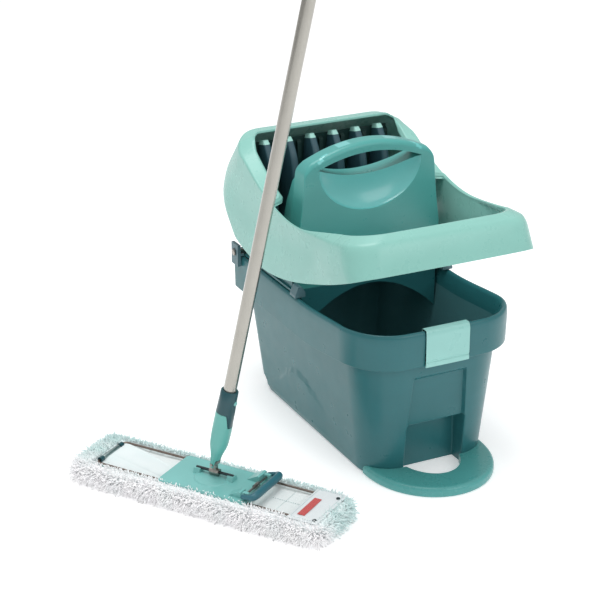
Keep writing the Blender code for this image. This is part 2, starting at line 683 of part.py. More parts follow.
def make_plate(head, look, steel):
    corner = 0.004
    plan = [(PLATE_LEFT, PLATE_FRONT + corner), (PLATE_LEFT + corner, PLATE_FRONT),
            (PLATE_RIGHT - corner, PLATE_FRONT), (PLATE_RIGHT, PLATE_FRONT + corner),
            (PLATE_RIGHT, PLATE_REAR - corner), (PLATE_RIGHT - corner, PLATE_REAR),
            (PLATE_LEFT + corner, PLATE_REAR), (PLATE_LEFT, PLATE_REAR - corner)]
    plate = prism("mop_plate", plan, "Z", PLATE_LOW, PLATE_TOP, look, head)
    dish = turned("dish", [(0.036, PLATE_TOP - 0.002), (0.031, 0.0428)], "Z",
                  (0, ROD_V - 0.006, 0), None, head, 24)
    combine(plate, dish, "UNION")
    for side in (-1, 1):
        low, high = sorted((side * 0.0265, side * 0.0385))
        saddle = [(ROD_V + v, z) for v, z in ((-0.0095, PLATE_TOP - 0.001),
                                              (0.0095, PLATE_TOP - 0.001),
                                              (0.0055, ROD_Z + 0.0002), (-0.0055, ROD_Z + 0.0002))]
        combine(plate, prism(f"saddle_{side}", saddle, "X", low, high, None, head), "UNION")
        low, high = sorted((side * 0.0330, side * 0.0395))
        cheek = [(0.070, PLATE_TOP - 0.001), (0.0915, PLATE_TOP - 0.001), (0.0905, 0.0515),
                 (0.0800, 0.0520)]
        combine(plate, prism(f"clip_{side}", cheek, "Y", low, high, None, head), "UNION")
        low, high = RAMPS[side]
        ramp = [(0.052, PLATE_TOP - 0.001), (0.0775, PLATE_TOP - 0.001), (0.0775, 0.0510),
                (0.0735, 0.0520)]
        combine(plate, prism(f"ramp_{side}", ramp, "Y", low, high, None, head), "UNION")
        wire_bore = rod(f"wire_bore_{side}", "X", (0, side * WIRE_V, WIRE_Z), WIRE_RADIUS + GAP,
                        -0.12, -0.060, None, head, 12)
        combine(plate, wire_bore)
        low, high = sorted((side * 0.0400, side * 0.0460))
        combine(plate, box(f"wing_slot_{side}", (0.0770, low, 0.02), (0.12, high, 0.0388), None,
                           head))
    combine(plate, box("axle_slot", (0.0770, -0.0460, 0.02), (0.0830, 0.0460, 0.0388), None, head))
    combine(plate, rod("rod_bore", "X", (0, ROD_V, ROD_Z), ROD_RADIUS + GAP, -0.0365, 0.0365,
                       None, head, 12))
    combine(plate, rod("release_bore", "Y", (RELEASE_U, 0, RELEASE_Z), 0.0023, -0.06, 0.06, None,
                       head, 12))
    rod("tilt_rod", "X", (0, ROD_V, ROD_Z), ROD_RADIUS, -0.0362, 0.0362, steel, head, 12)
    rod("release_pin", "Y", (RELEASE_U, 0, RELEASE_Z), 0.002, -0.0478, 0.0478, steel, head, 10)
    coil("release_spring", "Y", (RELEASE_U, 0, RELEASE_Z), 0.0038, 0.0006, -0.008, 0.008, 6,
         steel, head)


def make_wires(head, wing, steel, sleeve):
    bend = 0.008
    left = [(-0.062, WIRE_V, WIRE_Z)]
    left += wire_corner(WIRE_LEFT + bend, WIRE_V - bend, bend, 90, 180)
    left += wire_corner(WIRE_LEFT + bend, bend - WIRE_V, bend, 180, 270)
    left += [(-0.062, -WIRE_V, WIRE_Z)]
    swept("left_wire_frame", left, WIRE_RADIUS, steel, head)
    tube = [(WIRE_RADIUS + GAP, -1), (WIRE_RADIUS + GAP, 1), (0.0042, 1), (0.0042, -1)]
    turned("frame_end_bar", [(r, 0.024 * t) for r, t in tube], "Y", (WIRE_LEFT, 0, WIRE_Z),
           steel, head, 12, bore=True)
    for name, side in (("front", -1), ("rear", 1)):
        turned(f"corner_sleeve_{name}", [(r * 1.15, 0.0048 * t) for r, t in tube], "Y",
               (WIRE_LEFT, side * 0.0294, WIRE_Z), sleeve, head, 12, bore=True)

    near = 0.004
    loop = wire_corner(WING_U + near, WIRE_V - near, near, 180, 90)
    loop += wire_corner(WIRE_RIGHT - bend, WIRE_V - bend, bend, 90, 0)
    loop += wire_corner(WIRE_RIGHT - bend, bend - WIRE_V, bend, 0, -90)
    loop += wire_corner(WING_U + near, near - WIRE_V, near, 270, 180)
    loop = [(u - WING_U, v, z - WIRE_Z) for u, v, z in loop]
    swept("right_wire_frame", loop, WIRE_RADIUS, steel, wing, closed=True)


def make_release_lever(axis, look):
    """Foot bar with two arms; its frame is on the release pin."""
    section = arc((0.0210, 0.0045), 0.0068, 0, 330, 11)
    bar = prism("release_lever", section, "Y", -0.0505, 0.0505, look, axis)
    for side in (-1, 1):
        arm = arc((0, 0), 0.0045, 90, 270, 6) + [(0.0170, 0.0000), (0.0170, 0.0085)]
        low, high = sorted((side * 0.0413, side * 0.0478))
        combine(bar, prism(f"release_arm_{side}", arm, "Y", low, high, None, axis), "UNION")
    combine(bar, rod("arm_bore", "Y", (0, 0, 0), 0.0023, -0.05, 0.05, None, axis, 12))


def cover_block(name, look, parent):
    """The fringed cover as one soft block with a sunken floor."""
    centre = (COVER_LEFT + COVER_RIGHT) / 2
    length = COVER_RIGHT - COVER_LEFT
    rings = []
    for height, inset in ((0.0, 0.008), (0.008, 0.0), (0.034, 0.0), (COVER_HEIGHT, 0.012)):
        half = length / 2 - inset
        plan = oblong(half, inset - COVER_HALF, COVER_HALF - inset, 0.034 - inset, 0.034 - inset,
                      corner=4, side=1, end=1)
        rings.append([(centre + x, y, height) for x, y in plan])
    block = solid(name, *loft(rings), look, parent)
    pocket = box(f"{name}_pocket", (POCKET_LEFT, -POCKET_HALF, COVER_FLOOR),
                 (POCKET_RIGHT, POCKET_HALF, 0.1), None, parent)
    combine(block, pocket)
    return block


def make_cover(head, cloth):
    """The cover is parted by a notch under the fold axis of the right wing."""
    run = WIRE_Z * sin(WING_NOTCH) / cos(WING_NOTCH)
    clear = 0.003
    right = [(WING_U - clear - run, -0.001), (WING_U - clear, WIRE_Z), (WING_U - clear, 0.1),
             (0.4, 0.1), (0.4, -0.001)]
    main = cover_block("cover_main", cloth, head)
    combine(main, prism("right_part", right, "Y", -0.1, 0.1, None, head))
    left = [(WING_U + clear + run, -0.001), (WING_U + clear, WIRE_Z), (WING_U + clear, 0.1),
            (-0.4, 0.1), (-0.4, -0.001)]
    wing = cover_block("cover_wing", cloth, head)
    combine(wing, prism("left_part", left, "Y", -0.1, 0.1, None, head))


def make_pocket(head, cloth, red, dark):
    box("end_pocket", (0.172, -0.0548, 0.0386), (0.2268, 0.0548, 0.0410), cloth, head)
    box("cover_label", (0.1845, -0.041, 0.0413), (0.1975, 0.019, 0.0420), red, head)
    for name, v in (("front", -0.046), ("rear", 0.036)):
        profile = [(0.0014, 0.0413), (0.0014, 0.0422), (0.0032, 0.0422), (0.0036, 0.0413)]
        turned(f"eyelet_{name}", profile, "Z", (0.2190, v, 0), dark, head, 12, bore=True)


# ---------------------------------------------------------------- universal joint and pole

def make_joint(link, look):
    """Cross link: one barrel on the tilt rod, one above it for the cross pin."""
    barrel = turned("cross_link", [(0.0061, -0.009), (0.0061, 0.009)], "X", (0, 0, 0), look, link, 16)
    neck = box("link_neck", (-0.0036, -0.0040, 0.002), (0.0036, 0.0040, PIN_HEIGHT), None, link)
    head = rod("link_head", "Y", (0, 0, PIN_HEIGHT), 0.0050, -0.0090, 0.0090, None, link, 16)
    combine(barrel, neck, "UNION")
    combine(barrel, head, "UNION")
    combine(barrel, rod("link_bore", "X", (0, 0, 0), ROD_RADIUS + GAP, -0.02, 0.02, None, link, 12))
    combine(barrel, rod("head_bore", "Y", (0, 0, PIN_HEIGHT), 0.0025 + GAP, -0.02, 0.02, None,
                        link, 12))


def sector(name, inner, outer, half_angle, low, high, parent):
    """Part of a tube wall round the +U side of the pole."""
    outline = arc((0, 0), outer, -half_angle, half_angle, 8)
    outline += arc((0, 0), inner, half_angle, -half_angle, 8)
    return prism(name, outline, "Z", low, high, None, parent)


def make_pole(pole, looks):
    rod("cross_pin", "Y", (0, 0, 0), 0.0025, -0.0140, 0.0140, looks["steel"], pole, 12)
    rings = []
    for height, ru, rv in ((-0.0055, 0.0040, 0.0120), (0.0, 0.0062, 0.0128), (0.014, 0.0080, 0.0132),
                           (0.036, 0.0155, 0.0155), (0.060, 0.0166, 0.0166),
                           (SOCKET_TOP, 0.0162, 0.0162)):
        turns = [2 * pi * i / 24 for i in range(24)]
        rings.append([(ru * cos(t), rv * sin(t), height) for t in turns])
    socket = solid("socket", *loft(rings), looks["socket"], pole)
    combine(socket, box("fork_slot", (-0.03, -0.0095, -0.02), (0.03, 0.0095, 0.0080), None, pole))
    combine(socket, rod("pin_bore", "Y", (0, 0, 0), 0.0025 + GAP, -0.03, 0.03, None, pole, 12))
    combine(socket, sector("tongue_seat", 0.0125, 0.03, 52, TONGUE_LOW - GAP, 0.12, pole))

    profile = [(TUBE_RADIUS + GAP, SOCKET_TOP + GAP), (TUBE_RADIUS + GAP, SLEEVE_TOP),
               (0.0148, SLEEVE_TOP), (0.0160, SOCKET_TOP + GAP)]
    sleeve = turned("click_sleeve", profile, "Z", (0, 0, 0), looks["sleeve"], pole, 24, bore=True)
    combine(sleeve, sector("tongue", 0.0128, 0.0160, 50, TONGUE_LOW, SOCKET_TOP + 0.002, pole),
            "UNION")
    combine(sleeve, rod("button_bore", "X", (0, 0, 0.120), 0.0045, 0.005, 0.03, None, pole, 12))

    for name, low, high, outer, look in (
            ("pole_tube", TUBE_LOW, TUBE_TOP, TUBE_RADIUS, "pole"),
            ("pole_grip", GRIP_LOW, GRIP_TOP, 0.0148, "grip")):
        inner = outer - 0.0012 if name == "pole_tube" else TUBE_RADIUS + GAP
        profile = [(inner, low), (inner, high), (outer - 0.0004, high), (outer, high - 0.004),
                   (outer, low + 0.004), (outer - 0.0004, low)]
        turned(name, profile, "Z", (0, 0, 0), looks[look], pole, 24, bore=True)
    low = GRIP_TOP + GAP
    profile = [(0.0144, low), (0.0150, low + 0.003), (0.0150, POLE_TOP - 0.010),
               (0.0125, POLE_TOP - 0.003), (0.0070, POLE_TOP)]
    cap = turned("grip_cap", profile, "Z", (0, 0, 0), looks["sleeve"], pole, 24)
    combine(cap, rod("hanging_hole", "Y", (0, 0, POLE_TOP - 0.013), 0.0040, -0.03, 0.03, None,
                     pole, 12))


def main():
    clear_scene()
    mint = material("lever_mint", MINT, 0.38)
    teal = material("bucket_teal", TEAL, 0.40)
    handle_teal = material("handle_teal", HANDLE_TEAL, 0.36)
    dark = material("dark_plastic", DARK, 0.45)
    steel = material("steel", STEEL, 0.30, 1.0)
    cloth = material("cover_cloth", CLOTH, 0.95)
    sleeve = material("sleeve_teal", SLEEVE_TEAL, 0.42)
    plate_mint = material("plate_mint", PLATE_MINT, 0.40)
    looks = {"steel": steel, "sleeve": sleeve, "socket": plate_mint,
             "pole": material("pole_grey", POLE_GREY, 0.35, 0.6),
             "grip": material("grip_grey", GRIP_GREY, 0.60)}

    make_bucket(teal)
    make_foot_loop(teal)
    make_front_catch(material("catch_mint", CATCH_MINT, 0.38))
    make_press_tray(teal)
    make_handle(handle_teal)
    make_rim_clips(dark)
    make_hinges(dark, steel)
    lever_axis = frame("lever_axis", None, (0, HINGE_Y, HINGE_Z), (-LEVER_OPEN, 0, 0))
    make_lever(lever_axis, mint, dark, material("blade_blue", BLADE_BLUE, 0.42))

    head = frame("mop_head_frame", None, (MOP_X, MOP_Y, 0), (0, 0, MOP_TURN))
    wing = frame("wing_axis", head, (WING_U, 0, WIRE_Z))
    release = frame("release_axis", head, (RELEASE_U, 0, RELEASE_Z))
    make_plate(head, plate_mint, steel)
    make_wires(head, wing, steel, sleeve)
    make_release_lever(release, sleeve)
    make_cover(head, cloth)
    make_pocket(head, cloth, material("label_red", LABEL_RED, 0.7), dark)
    link = frame("tilt_axis", head, (0, ROD_V, ROD_Z), (POLE_TILT, 0, 0))
    pole = frame("swivel_axis", link, (0, 0, PIN_HEIGHT), (0, POLE_SWIVEL, 0))
    make_joint(link, steel)
    make_pole(pole, looks)
    turned("click_button", [(0.0041, 0.0124), (0.0041, 0.0158), (0.0030, 0.0168)], "X",
           (0, 0, 0.120), plate_mint, pole, 12)


main()
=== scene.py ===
"""Looks of the flat mop and its wringer bucket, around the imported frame."""
from math import cos, hypot, pi, radians, sin

import bmesh
import bpy
import numpy as np
from mathutils import Matrix, Vector


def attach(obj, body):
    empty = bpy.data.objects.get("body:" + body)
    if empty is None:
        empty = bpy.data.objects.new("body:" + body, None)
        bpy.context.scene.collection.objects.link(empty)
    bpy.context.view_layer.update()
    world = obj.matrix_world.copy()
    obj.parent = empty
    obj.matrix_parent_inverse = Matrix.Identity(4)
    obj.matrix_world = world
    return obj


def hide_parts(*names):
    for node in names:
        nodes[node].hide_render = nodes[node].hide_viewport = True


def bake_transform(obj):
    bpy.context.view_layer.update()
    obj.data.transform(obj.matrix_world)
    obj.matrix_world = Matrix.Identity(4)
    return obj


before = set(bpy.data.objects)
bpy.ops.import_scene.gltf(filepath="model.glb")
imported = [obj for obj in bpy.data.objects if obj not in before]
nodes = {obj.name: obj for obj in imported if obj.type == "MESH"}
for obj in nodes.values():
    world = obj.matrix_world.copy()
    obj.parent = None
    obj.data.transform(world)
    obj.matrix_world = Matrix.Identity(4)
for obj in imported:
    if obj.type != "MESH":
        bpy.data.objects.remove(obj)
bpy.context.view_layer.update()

GAP = 0.0003                                   # free space between touching pieces
HINGE_Y, HINGE_Z, LEVER_OPEN = 0.236, 0.2752, radians(13.0)
BLADES, BLADE_PITCH, BLADE_TOP = 6, 0.0466, 0.482
CARRIER_FACE, CARRIER_SLOPE = 0.166, 0.30      # Y at BLADE_TOP, and how fast it moves back below
SPECK_SCALE, RUB_SCALE, GRAIN_SCALE = 260.0, 38.0, 1500.0   # noise scales of moulded plastic
THREAD_TURN = 6.28                             # phase of the wave texture in one thread


def carrier_y(z):
    """Front face of the blade carrier, lever closed."""
    return CARRIER_FACE + CARRIER_SLOPE * (BLADE_TOP - z)


# ---------------------------------------------------------------- materials


def linear(colour):
    """sRGB to linear."""
    return [c / 12.92 if c <= 0.04045 else ((c + 0.055) / 1.055) ** 2.4 for c in colour]


def rgba(colour, gain=1.0):
    """Linear RGBA of an sRGB colour, brightened by gain."""
    return (*[min(c * gain, 1.0) for c in linear(colour)], 1.0)


class Look:
    """A Principled material with helpers for its procedural inputs."""

    def __init__(self, name, roughness=0.4, metallic=0.0, specular=0.5):
        self.material = bpy.data.materials.new(name)
        self.material.use_nodes = True
        self.tree = self.material.node_tree
        self.shader = self.tree.nodes["Principled BSDF"]
        self.set("Roughness", roughness)
        self.set("Metallic", metallic)
        self.set("Specular IOR Level", specular)
        self.place = self.node("ShaderNodeTexCoord").outputs["Object"]

    def node(self, kind, **settings):
        made = self.tree.nodes.new(kind)
        for key, value in settings.items():
            setattr(made, key, value)
        return made

    def set(self, socket, value):
        self.shader.inputs[socket].default_value = value

    def link(self, source, target):
        self.tree.links.new(source, target)
        return source

    def mapped(self, scale=(1, 1, 1), rotation=(0, 0, 0)):
        step = self.node("ShaderNodeMapping")
        step.inputs["Scale"].default_value = scale
        step.inputs["Rotation"].default_value = rotation
        self.link(self.place, step.inputs["Vector"])
        return step.outputs["Vector"]

    def noise(self, scale, detail=3.0, place=None, distortion=0.0):
        step = self.node("ShaderNodeTexNoise")
        step.inputs["Scale"].default_value = scale
        step.inputs["Detail"].default_value = detail
        step.inputs["Distortion"].default_value = distortion
        self.link(place or self.place, step.inputs["Vector"])
        return step.outputs["Fac"]

    def bands(self, scale, direction, place=None, distortion=0.0):
        step = self.node("ShaderNodeTexWave", wave_type="BANDS", bands_direction=direction)
        step.inputs["Scale"].default_value = scale
        step.inputs["Distortion"].default_value = distortion
        self.link(place or self.place, step.inputs["Vector"])
        return step.outputs["Fac"]

    def spread(self, value, low, high, start=0.3, end=0.7):
        step = self.node("ShaderNodeMapRange")
        for socket, number in zip(step.inputs[1:5], (start, end, low, high)):
            socket.default_value = number
        self.link(value, step.inputs[0])
        return step.outputs[0]

    def maths(self, operation, one, two):
        step = self.node("ShaderNodeMath", operation=operation)
        for socket, value in zip(step.inputs, (one, two)):
            if isinstance(value, (int, float)):
                socket.default_value = value
            else:
                self.link(value, socket)
        return step.outputs[0]

    def mix(self, share, one, two):
        """Mix two colours, each a linear RGBA or a socket."""
        step = self.node("ShaderNodeMix", data_type="RGBA")
        self.link(share, step.inputs["Factor"])
        for socket, value in ((step.inputs[6], one), (step.inputs[7], two)):
            if isinstance(value, tuple):
                socket.default_value = value
            else:
                self.link(value, socket)
        return step.outputs[2]

    def colour(self, source):
        self.link(source, self.shader.inputs["Base Color"])

    def rough(self, source):
        self.link(source, self.shader.inputs["Roughness"])

    def bump(self, height, depth, strength=0.5):
        step = self.node("ShaderNodeBump")
        step.inputs["Strength"].default_value = strength
        step.inputs["Distance"].default_value = depth
        self.link(height, step.inputs["Height"])
        self.link(step.outputs["Normal"], self.shader.inputs["Normal"])


def mottled(look, value, colour, depth):
    """A colour that varies by a share of depth either way along value."""
    return look.mix(look.spread(value, 0.0, 1.0), rgba(colour, 1 - depth), rgba(colour, 1 + depth))


def plastic(name, colour, roughness=0.36, mottling=0.05, grain=0.00008, coat=0.0, specular=0.5):
    """Moulded plastic with a fine spark-eroded grain, faint flow marks and rubbed patches."""
    look = Look(name, roughness, 0.0, specular)
    flow = look.noise(9.0, 4.0, look.mapped((1.0, 1.0, 2.2)), 0.6)
    speck = look.noise(SPECK_SCALE, 2.0)
    base = mottled(look, flow, colour, mottling)
    look.colour(look.mix(look.spread(speck, 0.0, 0.07), base, rgba(colour, 0.80)))
    rub = look.noise(RUB_SCALE, 5.0)
    look.rough(look.spread(rub, roughness - 0.03, roughness + 0.05))
    fine = look.noise(GRAIN_SCALE, 2.0)
    look.bump(look.maths("ADD", fine, look.maths("MULTIPLY", flow, 0.3)), grain, 0.12)
    look.set("Coat Weight", coat)
    look.set("Coat Roughness", 0.25)
    return look.material


def metal(name, colour, roughness, along, metallic=1.0, streaks=0.10, scale=420.0, coat=0.0):
    """Drawn or lacquered metal with fine streaks; along is the rotation of its grain."""
    look = Look(name, roughness, metallic)
    place = look.mapped((1.0, 1.0, 0.04), along)
    streak = look.noise(scale, 3.0, place)
    stain = look.noise(24.0, 4.0)
    base = mottled(look, streak, colour, streaks)
    look.colour(look.mix(look.spread(stain, 0.0, 0.06), base, rgba(colour, 0.70)))
    look.rough(look.spread(stain, roughness - 0.05, roughness + 0.08))
    look.bump(streak, 0.00004, 0.3)
    look.set("Coat Weight", coat)
    look.set("Coat Roughness", 0.12)
    return look.material


def cloth(name, colour, shade, threads=1900.0, depth=0.00018, turn=0.0):
    """Woven cloth: two crossing sets of threads, with slubs and soft stains."""
    look = Look(name, 0.95, 0.0, 0.2)
    place = look.mapped((1.0, 1.0, 1.0), (0.0, 0.0, turn))
    warp = look.bands(threads / THREAD_TURN, "X", place, 0.6)
    weft = look.bands(threads / THREAD_TURN, "Y", place, 0.6)
    weave = look.maths("MULTIPLY", warp, weft)
    slub = look.noise(120.0, 4.0)
    base = look.mix(look.spread(weave, 0.0, 1.0, 0.0, 1.0), rgba(shade), rgba(colour))
    look.colour(look.mix(look.spread(slub, 0.0, 0.30), base, rgba(shade)))
    look.rough(look.spread(slub, 0.85, 1.0))
    look.bump(look.maths("ADD", weave, slub), depth, 0.6)
    look.set("Sheen Weight", 0.3)
    look.set("Sheen Roughness", 0.5)
    return look.material


def carrier_plastic(name, colour, rib_colour):
    """Two-colour moulding: what stands proud of the carrier's sloping face is the rib colour."""
    look = Look(name, 0.45)
    across = look.node("ShaderNodeVectorMath", operation="DOT_PRODUCT")
    look.link(look.place, across.inputs[0])
    lean = np.arctan(CARRIER_SLOPE) + LEVER_OPEN
    across.inputs[1].default_value = (0.0, -cos(lean), -sin(lean))
    # distance of the sloping face from the origin, at rest
    middle = 0.40
    face = Vector((0.0, carrier_y(middle) - HINGE_Y, middle - HINGE_Z))
    face.rotate(Matrix.Rotation(-LEVER_OPEN, 3, "X"))
    level = -cos(lean) * (face.y + HINGE_Y) - sin(lean) * (face.z + HINGE_Z)
    proud = look.spread(across.outputs["Value"], 0.0, 1.0, level + 0.0004, level + 0.0014)
    flow = look.noise(22.0, 4.0)
    low = look.mix(look.spread(flow, 0.0, 1.0), rgba(colour, 0.92), rgba(colour, 1.08))
    high = look.mix(look.spread(flow, 0.0, 1.0), rgba(rib_colour, 0.94), rgba(rib_colour, 1.06))
    look.colour(look.mix(proud, low, high))
    look.rough(look.spread(look.noise(RUB_SCALE, 5.0), 0.40, 0.52))
    look.bump(look.noise(GRAIN_SCALE, 2.0), 0.00008, 0.35)
    return look.material


def yarn(name):
    """Looped microfibre; the attribute tint runs from white to mint. The attribute depth darkens
    the yarn towards the roots of the tufts as painted shade, and a faint white glow is painted
    light.
    """
    look = Look(name, 0.95, 0.0, 0.15)
    tint = look.node("ShaderNodeAttribute", attribute_name="tint").outputs["Fac"]
    depth = look.node("ShaderNodeAttribute", attribute_name="depth").outputs["Fac"]
    fibre = look.noise(700.0, 3.0)
    patch = look.noise(30.0, 3.0)
    shade = rgba((0.92, 0.95, 0.955))
    white = look.mix(look.spread(patch, 0.0, 1.0), rgba((0.990, 0.982, 0.990)),
                     rgba((0.998, 0.996, 0.998)))
    mint = look.mix(look.spread(patch, 0.0, 1.0), rgba((0.74, 0.87, 0.865)),
                    rgba((0.84, 0.92, 0.915)))
    base = look.mix(tint, white, mint)
    # painted shade: the yarn turns to the shade colour towards the roots of the tufts and on the
    # core, where shade falls between them
    shaded = look.mix(look.spread(depth, 0.0, 1.0, 0.0, 0.6), shade, base)
    look.colour(look.mix(look.spread(fibre, 0.0, 0.08), shaded, shade))
    # painted light: a faint white glow lifts the pile out of the shade between its tufts
    look.set("Emission Color", (1.0, 0.985, 1.0, 1.0))
    look.set("Emission Strength", 0.065)
    look.rough(look.spread(fibre, 0.88, 1.0))
    look.bump(fibre, 0.0003, 0.5)
    look.set("Sheen Weight", 0.4)
    look.set("Sheen Roughness", 0.6)
    return look.material


MOP_TURN = radians(-55.2)
POLE_LEAN = (0.06, 0.19, 0.0)
WEAVE = -MOP_TURN                              # turns the threads along the mop head
LOOKS = {
    "lever": plastic("lever_mint", (0.545, 0.765, 0.725), 0.28, 0.03, specular=0.42),
    "bucket": plastic("bucket_teal", (0.170, 0.415, 0.435), 0.30, 0.05, specular=0.40),
    # painted light: a lighter, greyer copy of the bucket plastic for the inner walls and floor,
    # standing in for light the shaded interior lacks
    "inside": plastic("bucket_inside_painted_light", (0.31, 0.50, 0.52), 0.36, 0.05, specular=0.40),
    "loop": plastic("loop_teal", (0.305, 0.61, 0.60), 0.28, 0.04),
    "handle": plastic("handle_teal", (0.295, 0.62, 0.60), 0.30, 0.04),
    # painted light: a lighter, glossier copy of the handle plastic stands in for the top light
    # caught by the scoop
    "dish": plastic("handle_dish", (0.40, 0.74, 0.73), 0.17, 0.03, coat=0.6),
    "catch": plastic("catch_mint", (0.575, 0.79, 0.765), 0.28, 0.03),
    "blade": plastic("blade_slate", (0.185, 0.315, 0.355), 0.40, 0.05),
    "tip": plastic("blade_tip_mint", (0.63, 0.83, 0.79), 0.42, 0.04),
    "carrier": carrier_plastic("carrier_dark", (0.085, 0.20, 0.19), (0.33, 0.47, 0.395)),
    "dark": plastic("dark_plastic", (0.12, 0.19, 0.21), 0.42, 0.06),
    "slate": plastic("clip_slate", (0.33, 0.46, 0.49), 0.40, 0.05),
    "plate": plastic("plate_mint", (0.49, 0.75, 0.735), 0.30, 0.04),
    "socket": plastic("socket_mint", (0.41, 0.71, 0.68), 0.30, 0.04),
    "sleeve": plastic("sleeve_teal", (0.10, 0.29, 0.32), 0.30, 0.05),
    "pedal": plastic("pedal_teal", (0.175, 0.405, 0.455), 0.38, 0.05),
    "grip": plastic("grip_rubber", (0.25, 0.28, 0.30), 0.62, 0.06, 0.0002),
    "steel": metal("steel", (0.62, 0.60, 0.58), 0.28, (0.0, pi / 2, 0.0)),
    "wire": metal("frame_wire", (0.50, 0.45, 0.42), 0.36, (0.0, pi / 2, MOP_TURN)),
    "rod": metal("tilt_rod", (0.27, 0.30, 0.31), 0.34, (0.0, pi / 2, MOP_TURN)),
    "tube": metal("end_tube", (0.60, 0.66, 0.66), 0.34, (pi / 2, 0.0, MOP_TURN)),
    "pole": metal("pole_lacquer", (0.66, 0.65, 0.62), 0.20, POLE_LEAN, 0.85, 0.04, 900.0, 0.8),
    "cloth": cloth("cover_cloth", (0.97, 0.975, 0.975), (0.90, 0.93, 0.93), turn=WEAVE),
    "pocket": cloth("pocket_cloth", (0.95, 0.955, 0.96), (0.85, 0.88, 0.89), 1300.0, turn=WEAVE),
    "binding": cloth("binding_mint", (0.66, 0.84, 0.80), (0.50, 0.72, 0.69), 1300.0, turn=WEAVE),
    "label": cloth("label_red", (0.86, 0.42, 0.40), (0.74, 0.28, 0.28), 2600.0, turn=WEAVE),
    "thread": cloth("seam_thread", (0.86, 0.91, 0.91), (0.78, 0.85, 0.85), 3000.0),
    "yarn": yarn("cover_yarn"),
}

# ---------------------------------------------------------------- mesh helpers


def loft(rings, closed=False):
    """Vertices and faces joining equal rings (levels, points, 3); an open loft gets caps."""
    rings = np.asarray(rings, float)
    levels, count = rings.shape[:2]
    low = np.arange(levels if closed else levels - 1)[:, None] * count
    high = (low + count) % (levels * count)
    here = np.arange(count)[None, :]
    there = (here + 1) % count
    quads = np.stack([low + here, low + there, high + there, high + here], -1).reshape(-1, 4)
    faces = quads.tolist()
    if not closed:
        faces.append(list(range(count))[::-1])
        faces.append(list(range((levels - 1) * count, levels * count)))
    return rings.reshape(-1, 3), faces


def rounded(rings, cuts, closed=True, steps=4):
    """Fillet a stack of rings; cuts says how far each ring's edge is cut back."""
    rings = np.asarray(rings, float)
    made = []
    last = len(rings) - 1
    for k, cut in enumerate(cuts):
        if cut <= 0 or (not closed and k in (0, last)):
            made.append(rings[k])
            continue
        here, before, after = rings[k], rings[k - 1], rings[(k + 1) % len(rings)]
        ends = []
        for other in (before, after):
            way = other - here
            size = np.maximum(np.linalg.norm(way, axis=1, keepdims=True), 1e-9)
            ends.append(here + way * np.minimum(cut / size, 0.45))
        for s in np.linspace(0, 1, steps + 1):
            made.append((1 - s) ** 2 * ends[0] + 2 * s * (1 - s) * here + s ** 2 * ends[1])
    return np.array(made)


def rounded_outline(points, cuts, steps=4):
    """Fillet a closed plane outline."""
    flat = rounded(np.asarray(points, float)[:, None, :], cuts, True, steps)
    return flat[:, 0, :]


def fresh(name, verts, faces, looks, angle=40.0, place=None):
    """A mesh object with outward faces and smooth shading up to the given angle."""
    verts = np.asarray(verts, float)
    if place is not None:
        matrix = np.array(place)
        verts = verts @ matrix[:3, :3].T + matrix[:3, 3]
    mesh = bpy.data.meshes.new(name)
    mesh.from_pydata(verts.tolist(), [], faces)
    bm = bmesh.new()
    bm.from_mesh(mesh)
    bmesh.ops.recalc_face_normals(bm, faces=bm.faces)
    bm.to_mesh(mesh)
    bm.free()
    mesh.shade_smooth()
    mesh.set_sharp_from_angle(angle=radians(angle))
    for look in looks:
        mesh.materials.append(LOOKS[look])
    made = bpy.data.objects.new(name, mesh)
    bpy.context.scene.collection.objects.link(made)
    return made


def finish_edges(obj, width, angle=35.0, segments=3):
    """Round the sharp edges and keep the flats flat."""
    step = obj.modifiers.new("edges", "BEVEL")
    step.width = width
    step.segments = segments
    step.limit_method = "ANGLE"
    step.angle_limit = radians(angle)
    step.harden_normals = False
    even_normals(obj)


def even_normals(obj):
    """Weight the normals by face area, so that flats shade flat."""
    step = obj.modifiers.new("normals", "WEIGHTED_NORMAL")
    step.keep_sharp = True
    step.weight = 60


def bake(obj):
    """Write the modifiers into the mesh."""
    graph = bpy.context.evaluated_depsgraph_get()
    mesh = bpy.data.meshes.new_from_object(obj.evaluated_get(graph))
    obj.modifiers.clear()
    obj.data = mesh


def carve(obj, tools, operation="DIFFERENCE"):
    """Booleans with throwaway tools, written into the mesh."""
    for tool in tools:
        step = obj.modifiers.new(tool.name, "BOOLEAN")
        step.operation = operation
        step.solver = "EXACT"
        step.object = tool
    bake(obj)
    for tool in tools:
        bpy.data.objects.remove(tool, do_unlink=True)


def relook(obj, looks, angle):
    """Give a carved mesh its materials and its sharp edges again."""
    obj.data.materials.clear()
    for look in looks:
        obj.data.materials.append(LOOKS[look])
    obj.data.set_sharp_from_angle(angle=radians(angle))


def belong(obj, body, slot, *replaced):
    """Put a piece on its body, in place of the CAD nodes it stands for; slot is not used."""
    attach(obj, body)
    if replaced:
        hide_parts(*replaced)
    return obj


def arc(centre, radius, start, end, steps):
    """Points on an arc, its angles in degrees."""
    turns = [radians(start + (end - start) * i / steps) for i in range(steps + 1)]
    return [(centre[0] + radius * cos(t), centre[1] + radius * sin(t)) for t in turns]


def ease(value, start, end):
    """Smooth step from 0 at start to 1 at end."""
    t = np.clip((np.asarray(value, float) - start) / (end - start), 0.0, 1.0)
    return t * t * (3 - 2 * t)


def prism(name, outline, axis, low, high, looks=("dark",), place=None, edge=0.0):
    """Extrude a plane outline along X, Y or Z, with small rounded rims when edge is given."""
    outline = np.asarray(outline, float)
    columns = {"X": (1, 2, 0), "Y": (0, 2, 1), "Z": (0, 1, 2)}[axis]
    rings = []
    for t in (low, high):
        ring = np.zeros((len(outline), 3))
        ring[:, columns[0]] = outline[:, 0]
        ring[:, columns[1]] = outline[:, 1]
        ring[:, columns[2]] = t
        rings.append(ring)
    made = fresh(name, *loft(rings), looks, place=place)
    if edge:
        finish_edges(made, edge)
    return made


